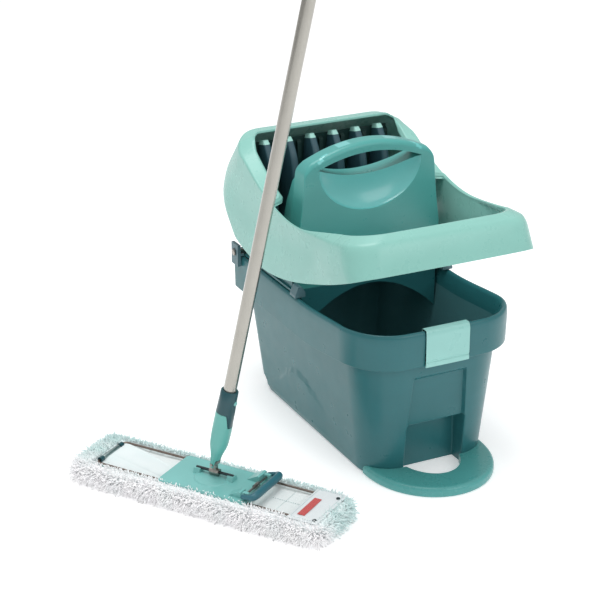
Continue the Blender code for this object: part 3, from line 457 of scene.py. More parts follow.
def spun(name, profile, axis="Z", centre=(0, 0, 0), looks=("steel",), place=None, sides=40,
         closed=False):
    """Spin (radius, height) points about an axis."""
    turns = np.arange(sides) * 2 * pi / sides
    order = {"X": (2, 0, 1), "Y": (1, 2, 0), "Z": (0, 1, 2)}[axis]
    rings = []
    for radius, height in profile:
        flat = np.stack([radius * np.cos(turns), radius * np.sin(turns),
                         np.full(sides, height)], -1)
        rings.append(flat[:, order] + np.asarray(centre))
    return fresh(name, *loft(rings, closed), looks, place=place)


def smooth_path(points, cuts, steps=8):
    """An open path with rounded corners."""
    path = rounded(np.asarray(points, float)[:, None, :], cuts, False, steps)
    return path[:, 0, :]


def tube(path, radii, sides=14, closed=False, flat=1.0):
    """Rings of a bar along a path; flat squeezes it across its second direction."""
    path = np.asarray(path, float)
    count = len(path)
    radii = np.broadcast_to(radii, count)
    rings = []
    side = None
    for i, point in enumerate(path):
        before = path[i - 1] if closed or i else point
        after = path[(i + 1) % count] if closed or i < count - 1 else point
        tangent = Vector(after - before).normalized()
        if side is None:
            side = tangent.orthogonal()
        side = (side - side.dot(tangent) * tangent).normalized()
        up = tangent.cross(side)
        turns = np.arange(sides) * 2 * pi / sides
        rings.append(point + radii[i] * (np.cos(turns)[:, None] * np.array(side)
                                         + flat * np.sin(turns)[:, None] * np.array(up)))
    return rings


# ---------------------------------------------------------------- bucket

RIM_TOP, RIM_LIFT, RIM_HALF, RIM_FRONT, RIM_REAR = 0.270, 0.014, 0.159, -0.2545, 0.272
SKIRT_BOTTOM, SKIRT_LIFT, SKIRT_TOP = 0.198, 0.021, 0.250
FRONT_BOW, WALL = 0.005, 0.003
# Half width, front, rear, front and rear corner radii: on the floor, and how much they grow
BASE_PLAN = (0.118, -0.218, 0.235, 0.056, 0.034)
PLAN_GROWTH = (0.0285, -0.0255, 0.0245, 0.026, 0.006)
SKIRT_CORNERS = (0.086, 0.022)
HEEL_HEIGHT, HEEL_DEPTH, HEEL_RISE = 0.020, 0.018, 0.006
FOOT_HALF, FOOT_TOP, FOOT_BACK = 0.0575, 0.095, -0.1925
PANEL_LOW_HALF, PANEL_HALF, PANEL_TOP, PANEL_DEPTH = 0.0555, 0.0500, 0.190, 0.008
# Rounded section of the recess flank: offset from its edge, share of the depth
FLANK = ((-0.0060, 1.0), (-0.0030, 1.0), (-0.0012, 0.985), (-0.0003, 0.95), (0.0, 0.88),
         (0.0, 0.08), (0.0003, 0.03), (0.0012, 0.006), (0.0030, 0.0), (0.0060, 0.0), (0.0100, 0.0))
# Rounded section of the foot recess's ceiling and of the panel's top: height, share
CEILING = ((-0.0040, 1.0), (-0.0017, 0.985), (-0.0005, 0.95), (0.0, 0.90), (0.0, 0.06),
           (0.0005, 0.015), (0.0020, 0.0))
BEVEL = ((-0.0070, 1.0), (-0.0045, 0.96), (-0.0030, 0.86), (0.0012, 0.14), (0.0027, 0.03),
         (0.0050, 0.0))
SWELL = ((-0.060, 0.060), (0.017, 0.097), (0.046, 0.103), (0.075, 0.094), (0.100, 0.076),
         (0.130, 0.053), (0.192, 0.025), (0.240, 0.015))   # (y, z) of the relief on the flanks


def body_wall(height, inset=0.0):
    """Half width, front, rear and corner radii of the bucket's wall."""
    share = height / SKIRT_TOP
    heel = HEEL_DEPTH * (1 - float(ease(height, HEEL_HEIGHT, HEEL_HEIGHT + HEEL_RISE)))
    half, front, rear, r_front, r_rear = [a + b * share for a, b in zip(BASE_PLAN, PLAN_GROWTH)]
    return half - inset, front + inset, rear - heel - inset, r_front - inset, r_rear - inset


def skirt_wall(inset):
    """The same five numbers for the skirt under the rim."""
    r_front, r_rear = SKIRT_CORNERS
    return RIM_HALF - inset, RIM_FRONT + inset, RIM_REAR - inset, r_front - inset, r_rear - inset


def bucket_ring(wall, height, lift=0.0, foot=0.0, panel=0.0, thick=0.0, relief=0.0):
    """One ring, with the foot recess and the panel pressed into its front."""
    half, front, rear, r_front, r_rear = wall
    rise = np.clip((height - FOOT_TOP) / (PANEL_TOP - FOOT_TOP), 0, 1)
    edge = FOOT_HALF if foot > 0 else PANEL_LOW_HALF + (PANEL_HALF - PANEL_LOW_HALF) * rise
    edge += thick
    x = [edge * i / 8 * 0.88 for i in range(8)]
    share = [1.0] * 8
    slope = 0.0 if foot > 0 else 0.0030
    for offset, part in FLANK:
        x.append(edge + offset + slope * (0.5 - part))
        share.append(part)
    x, share = np.array(x), np.array(share)
    centre = half - r_front
    reach = np.clip((x - centre) / r_front, 0, 1)
    y = front + r_front * (1 - np.sqrt(1 - reach ** 2))
    start = np.degrees(np.arcsin(reach[-1]))
    rest = arc((centre, front + r_front), r_front, start - 90, 0, 26)[1:]
    plan = [(a, b) for a, b in zip(x, y)] + rest
    plan = [(a, b - FRONT_BOW * (1 - (a / half) ** 2)) for a, b in plan]
    span = (front + r_front, rear - r_rear)
    plan += [(half, span[0] + (span[1] - span[0]) * i / 90) for i in range(1, 90)]
    plan += arc((half - r_rear, rear - r_rear), r_rear, 0, 90, 14)
    plan += [((half - r_rear) * (1 - i / 8), rear) for i in range(1, 9)]
    plan = np.array(plan)
    z = height + lift * ease(-plan[:, 1], 0.015, 0.22)
    cut = len(x)
    plan[:cut, 1] += PANEL_DEPTH * share * panel
    plan[:cut, 1] += (FOOT_BACK + thick - plan[:cut, 1]) * share * foot
    if relief:
        line = np.interp(plan[:, 1], *zip(*SWELL))
        mask = ease(line - z, -0.003, 0.004) * ease(plan[:, 1], -0.07, 0.02)
        mask *= ease(plan[:, 0], half - 0.012, half - 0.002)
        plan[:, 0] += relief * mask
    right = np.column_stack([plan, z])
    left = right[-2:0:-1] * (-1, 1, 1)
    return np.vstack([right, left])


def wall_levels(thick):
    """Nominal height, foot share and panel share of the wall from the floor to the skirt."""
    stretch = RIM_LIFT / (SKIRT_TOP - HEEL_HEIGHT - HEEL_RISE)

    def nominal(z):
        return (z + stretch * (HEEL_HEIGHT + HEEL_RISE)) / (1 + stretch)

    levels = [(z, 1.0, 1.0) for z in (0.012, 0.0165, 0.020, 0.0215, 0.023, 0.0245, 0.026)]
    levels += [(nominal(z), 1.0, 1.0) for z in np.arange(0.030, 0.086, 0.004)]
    levels += [(nominal(FOOT_TOP + thick + z), part, 1.0) for z, part in CEILING]
    levels += [(nominal(z), 0.0, 1.0) for z in (0.1045, 0.108, 0.112, 0.120, 0.140, 0.160, 0.175)]
    levels += [(nominal(PANEL_TOP + thick + z), 0.0, part) for z, part in BEVEL]
    levels += [(nominal(z), 0.0, 0.0) for z in (0.205, 0.220, 0.235, 0.250)]
    return levels


def wall_ring(level, inset, relief=0.0):
    height, foot, panel = level
    lift = RIM_LIFT * max(height - HEEL_HEIGHT - HEEL_RISE, 0)
    lift /= SKIRT_TOP - HEEL_HEIGHT - HEEL_RISE
    return bucket_ring(body_wall(height, inset), height, lift, foot, panel, inset, relief)


def make_bucket():
    rings = [bucket_ring(body_wall(z, inset), z, 0, 1.0, 1.0)
             for z, inset in ((0.0, 0.005), (0.0004, 0.003), (0.0015, 0.0012), (0.003, 0.0003),
                              (0.006, 0.0))]
    rings += [wall_ring(level, 0.0, 0.0028) for level in wall_levels(0.0)]
    rings += [bucket_ring(body_wall(SKIRT_TOP), SKIRT_TOP, RIM_LIFT)]
    rings += [bucket_ring(skirt_wall(0.0040), SKIRT_TOP, RIM_LIFT)]
    rings += [bucket_ring(skirt_wall(inset), SKIRT_BOTTOM + rise, SKIRT_LIFT)
              for inset, rise in ((0.0045, 0.001), (0.0038, 0.0), (0.0022, 0.0), (0.0012, 0.0012))]
    rim = [bucket_ring(skirt_wall(inset), RIM_TOP - drop, RIM_LIFT)
           for drop, inset in ((0.014, 0.0), (0.004, 0.0010), (0.0, 0.0055), (0.004, 0.0105))]
    frame_rings = [rings[-1]] + rim + [bucket_ring(body_wall(SKIRT_TOP, WALL), SKIRT_TOP, RIM_LIFT)]
    rings += list(rounded(frame_rings, (0, 0.006, 0.0035, 0.0035, 0.003, 0), False, 4)[1:])
    first_inner = len(rings)
    inner = [level for level in wall_levels(WALL) if level[0] > HEEL_HEIGHT + 0.004]
    rings += [wall_ring(level, WALL) for level in inner[::-1]]
    rings += [bucket_ring(body_wall(z, inset), z, 0, 1.0, 1.0, WALL)
              for z, inset in ((0.024, WALL), (0.012, WALL), (0.007, WALL), (0.0045, 0.0036),
                               (WALL, 0.0060))]
    bucket = fresh("bucket_body_look", *loft(rings), ["bucket", "inside"], 60)
    count = len(rings[0])
    wall_faces = (len(rings) - 1) * count
    # the inner walls and the inner floor take the lighter copy of the bucket plastic, painted light
    # in the shaded interior
    for face in bucket.data.polygons:
        lit_inner_face = first_inner * count <= face.index < wall_faces
        face.material_index = int(lit_inner_face or face.index == wall_faces + 1)
    even_normals(bucket)
    belong(bucket, "bucket", "bucket_plastic", "bucket_body")


def oblong(half, front, rear, r_front, r_rear, bow=0.0, corner=16, side=24, end=10):
    """Rounded rectangle in plan, anticlockwise from the middle of its front edge."""
    right = [((half - r_front) * i / end, front) for i in range(end)]
    right += arc((half - r_front, front + r_front), r_front, -90, 0, corner)
    right = [(x, y - bow * (1 - (x / half) ** 2)) for x, y in right]
    span = (front + r_front, rear - r_rear)
    right += [(half, span[0] + (span[1] - span[0]) * i / side) for i in range(1, side)]
    right += arc((half - r_rear, rear - r_rear), r_rear, 0, 90, corner)
    right += [((half - r_rear) * (1 - i / end), rear) for i in range(1, end + 1)]
    return np.array(right + [(-x, y) for x, y in right[-2:0:-1]])


LOOP_HALF, LOOP_FRONT, LOOP_BACK, LOOP_HEIGHT = 0.118, -0.327, -0.186, 0.017
LOOP_HOLE_HALF, LOOP_HOLE_FRONT = FOOT_HALF + 0.0005, -0.273


def make_foot_loop():
    turns = np.linspace(0, pi, 97)

    def oval(half, near):
        return np.column_stack([-half * np.cos(turns),
                                LOOP_BACK + (near - LOOP_BACK) * np.sin(turns).clip(0) ** 0.92])

    rings = []
    for level, inset in ((0.0, 0.0015), (0.003, 0.0), (LOOP_HEIGHT - 0.0045, 0.0),
                         (LOOP_HEIGHT, 0.005), (LOOP_HEIGHT, 0.012)):
        plan = oval(LOOP_HALF - inset, LOOP_FRONT + inset)
        rings.append(np.column_stack([plan, np.full(len(plan), level)]))
    rings = rounded(rings, (0, 0.001, 0.005, 0.0045, 0), False, 5)
    loop = fresh("foot_loop_look", *loft(rings), ["loop"])
    plan = oblong(*body_wall(LOOP_HEIGHT, -GAP), FRONT_BOW)
    wall = prism("loop_wall", plan, "Z", -0.01, 0.05)
    opening = oval(LOOP_HOLE_HALF, LOOP_HOLE_FRONT)
    opening = opening[opening[:, 1] < -0.205]
    opening = np.vstack([opening, [(LOOP_HOLE_HALF, -0.15), (-LOOP_HOLE_HALF, -0.15)]])
    carve(loop, [wall, prism("loop_opening", opening, "Z", -0.01, 0.05)])
    finish_edges(loop, 0.0022, 50)
    belong(loop, "bucket", "bucket_plastic", "foot_loop")


CATCH_HALF, CATCH_LOW = 0.042, 0.2185


def make_catch():
    """The clip over the front rim, with a groove across its face."""
    face, back, lip = RIM_FRONT - 0.0035, RIM_FRONT - 0.0006, RIM_FRONT + 0.0125
    top, groove = RIM_TOP + RIM_LIFT, CATCH_LOW + 0.008
    section = np.array([(face, CATCH_LOW), (face, groove), (face + 0.0012, groove + 0.001),
                        (face + 0.0012, groove + 0.0035), (face, groove + 0.0045),
                        (face, top - 0.006), (face + 0.0035, top + 0.0022),
                        (lip - 0.001, top + 0.0022), (lip + 0.0022, top - 0.001),
                        (lip + 0.0022, top - 0.006), (lip, top - 0.006), (lip, top + GAP),
                        (back, top + GAP), (back, CATCH_LOW)])
    cuts = (0.001, 0.0008, 0.0005, 0.0005, 0.0008, 0.005, 0.004, 0.002, 0.002, 0.0005, 0, 0, 0, 0)
    section = rounded_outline(section, cuts, 5)
    rings = []
    for i in range(29):
        x = CATCH_HALF * (i / 14 - 1)
        bow = FRONT_BOW * (1 - (x / RIM_HALF) ** 2)
        rings.append([(x, y - bow, z) for y, z in section])
    catch = fresh("front_catch_look", *loft(rings), ["catch"])
    finish_edges(catch, 0.0009, 60)
    belong(catch, "bucket", "catch_plastic", "front_catch")


# ---------------------------------------------------------------- carrying handle

DECK_TOP, HANDLE_FRONT, HANDLE_DEPTH, HANDLE_TOP, HANDLE_HALF = 0.2743, 0.018, 0.038, 0.530, 0.130
GRIP_HALF, GRIP_CORNER, GRIP_CROWN, GRIP_SILL = 0.1035, 0.490, 0.5115, 0.463
SCOOP_DROP, SCOOP_DEPTH = 0.086, 0.026


def grip_tool():
    """Cutter for the finger opening."""
    x = np.linspace(-GRIP_HALF, GRIP_HALF, 49)
    sill = GRIP_SILL + (GRIP_CORNER - GRIP_SILL) * (x / GRIP_HALF) ** 2
    crown = GRIP_CROWN + (GRIP_CORNER - GRIP_CROWN) * (x / GRIP_HALF) ** 2
    outline = np.vstack([np.column_stack([x, sill]), np.column_stack([x, crown])[-2:0:-1]])
    return prism("grip_tool", outline, "Y", -0.02, 0.14)


def make_handle():
    foot = DECK_TOP + GAP
    flank = [(0.1440, foot), (0.1445, 0.355), (0.1375, 0.400), (0.1335, 0.440), (0.1305, 0.475),
             (0.1285, 0.487), (0.1240, 0.4950)]
    x = np.linspace(0.117, -0.117, 41)
    arch = np.column_stack([x, HANDLE_TOP - 0.034 * (x / HANDLE_HALF) ** 2])
    outline = np.vstack([flank, arch, [(-a, b) for a, b in flank[::-1]]])
    cuts = [0.001, 0.030, 0.020, 0.020, 0.010, 0.006, 0.004] + [0.0] * 41
    cuts += cuts[6::-1]
    outline = rounded_outline(outline, cuts, 6)
    # inward direction at each point, and how large its edge rounding is
    way = np.roll(outline, -1, 0) - np.roll(outline, 1, 0)
    inward = np.column_stack([-way[:, 1], way[:, 0]])
    inward /= np.linalg.norm(inward, axis=1, keepdims=True)
    size = 0.0025 + 0.0075 * ease(outline[:, 1], 0.478, 0.505)
    inward[outline[:, 1] < foot + 0.001, 1] = 0.0
    rings = []
    back = HANDLE_FRONT + HANDLE_DEPTH
    for i in range(9):
        turn = radians(90 * i / 8)
        flat = outline + inward * (size * (1 - sin(turn)))[:, None]
        rings.append(np.column_stack([flat[:, 0], HANDLE_FRONT + size * (1 - cos(turn)),
                                      flat[:, 1]]))
    for i in range(8, -1, -1):
        turn = radians(90 * i / 8)
        near = 0.0008 + (size - 0.0008) * ease(outline[:, 1], 0.478, 0.505)
        flat = outline + inward * (near * (1 - sin(turn)))[:, None]
        rings.append(np.column_stack([flat[:, 0], back - near * (1 - cos(turn)), flat[:, 1]]))
    front = fresh("handle_front_look", *loft(rings), ["handle"])
    rings = []
    spin = np.arange(96) * 2 * pi / 96
    for drop in np.sin(np.radians(np.linspace(0, 90, 26)[:-1])):
        across = np.sqrt(1 - drop ** 2)
        rings.append(np.column_stack([
            GRIP_HALF * across * np.cos(spin),
            HANDLE_FRONT - 0.004 + (SCOOP_DEPTH + 0.004) * across * np.sin(spin),
            np.full(96, GRIP_CORNER - SCOOP_DROP * drop)]))
    carve(front, [fresh("scoop_tool", *loft(rings), []), grip_tool()])
    relook(front, ["handle", "dish"], 32)
    # the upward-facing faces of the scoop take the lighter copy of the handle plastic, a painted
    # highlight
    for face in front.data.polygons:
        x, y, z = face.center
        reach = hypot(x / GRIP_HALF, (y - HANDLE_FRONT + 0.004) / (SCOOP_DEPTH + 0.004),
                      (GRIP_CORNER - z) / SCOOP_DROP)
        if 0.94 < reach < 1.03 and y > HANDLE_FRONT + 0.0004 and face.normal.z > 0.02:
            face.material_index = 1
    finish_edges(front, 0.0016, 32, 3)
    belong(front, "bucket", "handle_plastic", "handle_front_shell")

    near = back + GAP
    rings = []
    levels = ((foot, 0.1430, 0.104), (0.355, 0.1435, 0.101), (0.420, 0.1350, 0.094),
              (0.460, 0.1300, 0.080), (0.490, 0.1150, 0.065))
    for height in np.linspace(foot, 0.490, 28):
        half = np.interp(height, [v[0] for v in levels], [v[1] for v in levels])
        far = np.interp(height, [v[0] for v in levels], [v[2] for v in levels])
        plan = [(-half, near), (half, near), (half - 0.006, far), (0.006 - half, far)]
        plan = rounded_outline(plan, (0.001, 0.001, 0.008, 0.008), 5)
        rings.append(np.column_stack([plan, np.full(len(plan), height)]))
    rear = fresh("handle_rear_look", *loft(rings), ["handle"])
    carve(rear, [grip_tool()])
    relook(rear, ["handle"], 32)
    finish_edges(rear, 0.0012, 40, 3)
    belong(rear, "bucket", "handle_plastic", "handle_rear_shell")


# ---------------------------------------------------------------- press lever

LEVER_HALF, LEVER_FRONT, LEVER_REAR = 0.171, -0.281, 0.262
LEVER_CORNER, BROW_CORNER, LEVER_REAR_CORNER = 0.040, 0.052, 0.052
LEVER_WALL, FRONT_FLARE = 0.003, 0.035
LIP_HALF, LIP_FRONT, LIP_REAR, LIP_EDGE = 0.150, -0.258, 0.170, 0.150
LIP_LOW, LIP_HIGH = 0.350, 0.4945
LIP_SPREAD, EDGE_SPREAD = 0.170, 0.183     # how much wider the opening is beside the flanks
FLANGE_START = (0.028, 0.038)
CROWN_RISE, CROWN_REAR, CROWN_CORNER = 0.0145, 0.190, 0.060
CREASE_HALF = 0.177
CREASE_DROPS = ((-0.281, 0.012), (-0.20, 0.012), (-0.08, 0.0025), (0.09, 0.0025), (0.11, 0.003),
                (0.155, 0.0125), (0.19, -0.001), (0.30, -0.001))   # (y, drop below the lip)
OPEN = (Matrix.Translation((0, HINGE_Y, HINGE_Z)) @ Matrix.Rotation(-LEVER_OPEN, 4, "X")
        @ Matrix.Translation((0, -HINGE_Y, -HINGE_Z)))


def lever_sill(y):
    """Height of the lever's lower edge."""
    front = 0.250 + 0.033 * (np.clip(-y, 0, 0.28) / 0.28) ** 1.6
    rear = 0.250 + 0.076 * (np.clip(y, 0, 0.245) / 0.245) ** 2.4
    return np.where(y < 0, front, rear)


def lip_height(y):
    """Height of the lip round the lever's opening."""
    rise = np.clip((y + 0.12) / (LIP_EDGE + 0.12), 0.0, 1.0)
    crown = CROWN_RISE * ease(y, LIP_EDGE, CROWN_REAR)
    return LIP_LOW + (LIP_HIGH - LIP_LOW) * rise ** 2.2 + crown


def crease_drop(y):
    """How far the crease round the hood lies below the lip."""
    drop = np.full(len(y), CREASE_DROPS[0][1])
    for (y0, drop0), (y1, drop1) in zip(CREASE_DROPS, CREASE_DROPS[1:]):
        drop += (drop1 - drop0) * ease(y, y0, y1)
    return drop


def make_lever():
    def plan(half, front, rear, inset=0.0, round_rear=LEVER_REAR_CORNER, round_front=BROW_CORNER):
        outline = oblong(half - inset, front + inset, rear - inset, round_front - inset,
                         round_rear - inset, 0.004, 20, 44, 16)
        x, y = outline.T
        return np.column_stack([x * (1 + FRONT_FLARE * ease(-y, 0.10, 0.20)), y])

    def foot(inset):
        return plan(LEVER_HALF, LEVER_FRONT, LEVER_REAR, inset, LEVER_REAR_CORNER, LEVER_CORNER)

    def spread(outline, share):
        """Widen an outline of the lip where it runs along the flanks."""
        y = outline[:, 1]
        along_flank = ease(y, -0.215, -0.080) - ease(y, *FLANGE_START)
        return np.column_stack([outline[:, 0] * (1 + share * along_flank), y])

    base = foot(0.0)
    lip = spread(plan(LIP_HALF, LIP_FRONT, LIP_REAR, 0.0, 0.045), LIP_SPREAD)
    low = lever_sill(base[:, 1])
    high = lip_height(lip[:, 1])

    def ring(outline, share, lift=0.0, side=0.0):
        z = low + (high - low) * share + lift - side * ease(outline[:, 1], -0.20, -0.05)
        return np.column_stack([outline, z])

    def crease(inset, lift):
        outline = plan(brow_half, LEVER_FRONT + 0.009, CROWN_REAR, inset, CROWN_CORNER)
        y = outline[:, 1]
        x = outline[:, 0] * (1 + (CREASE_HALF / brow_half - 1) * ease(y, -0.20, -0.08))
        return np.column_stack([x, y, high - crease_drop(y) + lift])

    bulge = (LEVER_HALF + 0.001, LEVER_FRONT + 0.001, 0.297)
    upper = (LEVER_HALF - 0.001, LEVER_FRONT + 0.004, 0.268)
    brow_half = LEVER_HALF - 0.005
    edge = spread(plan(LIP_HALF - 0.005, LIP_FRONT + 0.005, LIP_EDGE, 0, 0.016), EDGE_SPREAD)
    wall = LEVER_WALL
    rings = [ring(base, 0), ring(plan(*bulge), 0.35), ring(plan(*upper), 0.66, 0, 0.004),
             crease(0.0, 0.0), ring(lip, 1),
             ring(edge, 1, -0.001), ring(edge, 1, -0.006),
             crease(wall + 0.002, -0.0045),
             ring(plan(*upper, wall), 0.64, 0, 0.004), ring(plan(*bulge, wall), 0.34),
             ring(foot(wall), 0)]
    cuts = (0.0010, 0.040, 0.030, 0.0045, 0.0035, 0.0016, 0.0016, 0.003, 0.030, 0.040, 0.0010)
    lever = fresh("lever_frame_look", *loft(rounded(rings, cuts, True, 5), True), ["lever"], 60,
                  OPEN)
    even_normals(lever)
    belong(lever, "press_lever", "lever_plastic", "lever_frame")


def finger(x, levels, tip_level, name, looks):
    """A tapering bar standing on the carrier; the faces above tip_level take the second look."""
    rings = []
    for height, half, near in levels:
        far = carrier_y(height) - GAP
        plan = [(x - 0.7 * half, near), (x + 0.7 * half, near), (x + half, far), (x - half, far)]
        cut = min(half * 0.5, (far - near) * 0.4)
        plan = rounded_outline(plan, (cut, cut, 0.0008, 0.0008), 4)
        rings.append(np.column_stack([plan, np.full(len(plan), height)]))
    made = fresh(name, *loft(rings), looks, 50, OPEN)
    inverse = np.array(OPEN.inverted())
    for face in made.data.polygons:
        centre = np.array(face.center)
        height = (inverse[:3, :3] @ centre + inverse[:3, 3])[2]
        face.material_index = int(height > tip_level)
    return made


def make_blades():
    shape = np.array([(0.322, 0.0105, 0.160), (0.345, 0.0115, 0.146), (0.400, 0.0110, 0.136),
                      (0.450, 0.0100, 0.138), (BLADE_TOP, 0.0085, 0.152)])
    heights = np.concatenate([np.linspace(0.322, 0.474, 26), [0.4755, 0.4785, 0.4805, BLADE_TOP]])
    levels = []
    for z in heights:
        close = ease(z, 0.474, BLADE_TOP)
        half = np.interp(z, shape[:, 0], shape[:, 1]) * (1 - 0.16 * close)
        near = np.interp(z, shape[:, 0], shape[:, 2]) + 0.0010 * close
        levels.append((z, half, near))
    smooth = np.array(levels)
    for _ in range(3):
        smooth[1:-5, 2] = (smooth[:-6, 2] + smooth[1:-5, 2] + smooth[2:-4, 2]) / 3
    for i in range(BLADES):
        x = BLADE_PITCH * (i - (BLADES - 1) / 2)
        blade = finger(x, smooth, 0.4745, f"press_blade_{i + 1}_look", ["blade", "tip"])
        even_normals(blade)
        belong(blade, "press_lever", "blade_plastic", f"press_blade_{i + 1}")


# ---------------------------------------------------------------- mop head

MOP_X, MOP_Y = -0.3859, -0.1514
HEAD = Matrix.Translation((MOP_X, MOP_Y, 0)) @ Matrix.Rotation(MOP_TURN, 4, "Z")
COVER_LEFT, COVER_RIGHT, COVER_HALF = -0.262, 0.248, 0.074
POCKET_HALF, POCKET_LEFT = 0.0555, -0.217
WIRE_Z, WIRE_V, WIRE_RADIUS, WIRE_LEFT, WIRE_RIGHT = 0.036, 0.043, 0.002, -0.208, 0.2135
WING_U, RELEASE_U, RELEASE_Z = 0.080, 0.084, 0.047


def across_fold(obj, slot, *replaced):
    """Write a soft piece's placement into its mesh, in place of the CAD nodes it stands for."""
    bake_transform(obj)
    if replaced:
        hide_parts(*replaced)
    return obj


def make_wires():
    path = smooth_path([(-0.062, WIRE_V, WIRE_Z), (WIRE_LEFT, WIRE_V, WIRE_Z),
                        (WIRE_LEFT, -WIRE_V, WIRE_Z), (-0.062, -WIRE_V, WIRE_Z)],
                       (0, 0.009, 0.009, 0), 10)
    left = fresh("left_wire_look", *loft(tube(path, WIRE_RADIUS)), ["wire"], place=HEAD)
    belong(left, "mop_head", "steel", "left_wire_frame")
    corners = np.array([(WING_U, WIRE_V, WIRE_Z), (WIRE_RIGHT, WIRE_V, WIRE_Z),
                        (WIRE_RIGHT, -WIRE_V, WIRE_Z), (WING_U, -WIRE_V, WIRE_Z)])
    path = rounded(corners[:, None, :], (0.0045, 0.009, 0.009, 0.0045), True, 8)[:, 0, :]
    right = fresh("right_wire_look", *loft(tube(path, WIRE_RADIUS, 14, True), True), ["wire"],
                  place=HEAD)
    belong(right, "right_wing", "steel", "right_wire_frame")
    bore = WIRE_RADIUS + GAP
    shell = [(bore, -1), (bore, 1), (0.0038, 1), (0.0042, 0.96), (0.0042, -0.96), (0.0038, -1)]
    bar = spun("frame_end_bar_look", [(r, 0.024 * t) for r, t in shell], "Y",
               (WIRE_LEFT, 0, WIRE_Z), ["tube"], HEAD, 32, True)
    belong(bar, "mop_head", "steel", "frame_end_bar")


def make_pedal():
    """Foot bar with its two arms, hooked on the release pin."""
    arm, out, lift = 0.0445, RELEASE_U + 0.0210, RELEASE_Z + 0.0045
    path = smooth_path([(RELEASE_U - 0.0015, arm, RELEASE_Z), (out, arm + 0.002, lift),
                        (out, -arm - 0.002, lift), (RELEASE_U - 0.0015, -arm, RELEASE_Z)],
                       (0, 0.011, 0.011, 0), 12)
    ends = np.array([[RELEASE_U, arm], [RELEASE_U, -arm]])
    away = np.linalg.norm(path[:, None, :2] - ends[None], axis=2).min(axis=1)
    radii = 0.0040 + 0.0028 * ease(away, 0.006, 0.024)
    pedal = fresh("release_lever_look", *loft(tube(path, radii, 20)), ["pedal"], place=HEAD)
    belong(pedal, "foot_release", "sleeve_plastic", "release_lever")


def cover_outline(inset, count):
    """Points evenly round the cover's outline, with their outward directions."""
    length = (COVER_RIGHT - COVER_LEFT) / 2 - inset
    width = COVER_HALF - inset
    corner = 0.034 - inset
    dense = oblong(length, -width, width, corner, corner, 0.0, 24, 40, 60)
    dense = np.vstack([dense, dense[:1]])
    steps = np.linalg.norm(np.diff(dense, axis=0), axis=1)
    run = np.concatenate([[0], np.cumsum(steps)])
    spots = np.linspace(0, run[-1], count, endpoint=False)
    x = np.interp(spots, run, dense[:, 0])
    y = np.interp(spots, run, dense[:, 1])
    points = np.column_stack([x, y])
    way = np.roll(points, -1, 0) - np.roll(points, 1, 0)
    way /= np.linalg.norm(way, axis=1, keepdims=True)
    outward = np.column_stack([way[:, 1], -way[:, 0]])
    points[:, 0] += (COVER_LEFT + COVER_RIGHT) / 2
    return points, outward


def tufts(rng, roots, aims, lengths, radii, droop):
    """Many small bent strands as one vertex and face array."""
    count = len(roots)
    stops = np.array([0.0, 0.45, 0.85, 1.0])
    width = np.array([1.0, 1.05, 0.8, 0.3])
    curl = rng.normal(0, 0.28, (count, 3))
    t = stops[None, :, None]
    path = roots[:, None, :] + lengths[:, None, None] * (
        aims[:, None, :] * t + curl[:, None, :] * t ** 2)
    path[:, :, 2] -= droop[:, None] * lengths[:, None] * stops[None, :] ** 2
    helper = np.where(np.abs(aims[:, 2:3]) > 0.8, [[1.0, 0.0, 0.0]], [[0.0, 0.0, 1.0]])
    side = np.cross(aims, helper)
    side /= np.linalg.norm(side, axis=1, keepdims=True)
    other = np.cross(aims, side)
    spin = np.arange(4) * pi / 2
    ring = (np.cos(spin)[None, :, None] * side[:, None, :]
            + np.sin(spin)[None, :, None] * other[:, None, :])
    verts = path[:, :, None, :] + (radii[:, None, None, None] * width[None, :, None, None]
                                   * ring[:, None, :, :])
    levels = len(stops)
    low = np.arange(levels - 1)[:, None] * 4
    here = np.arange(4)[None, :]
    there = (here + 1) % 4
    quads = np.stack([low + here, low + there, low + 4 + there, low + 4 + here], -1).reshape(-1, 4)
    top = (levels - 1) * 4
    quads = np.vstack([quads, [[3, 2, 1, 0], [top, top + 1, top + 2, top + 3]]])
    faces = (quads[None] + (np.arange(count) * levels * 4)[:, None, None]).reshape(-1, 4)
    share = np.broadcast_to(stops[None, :, None], (count, levels, 4)).reshape(-1)
    return verts.reshape(-1, 3), faces, share


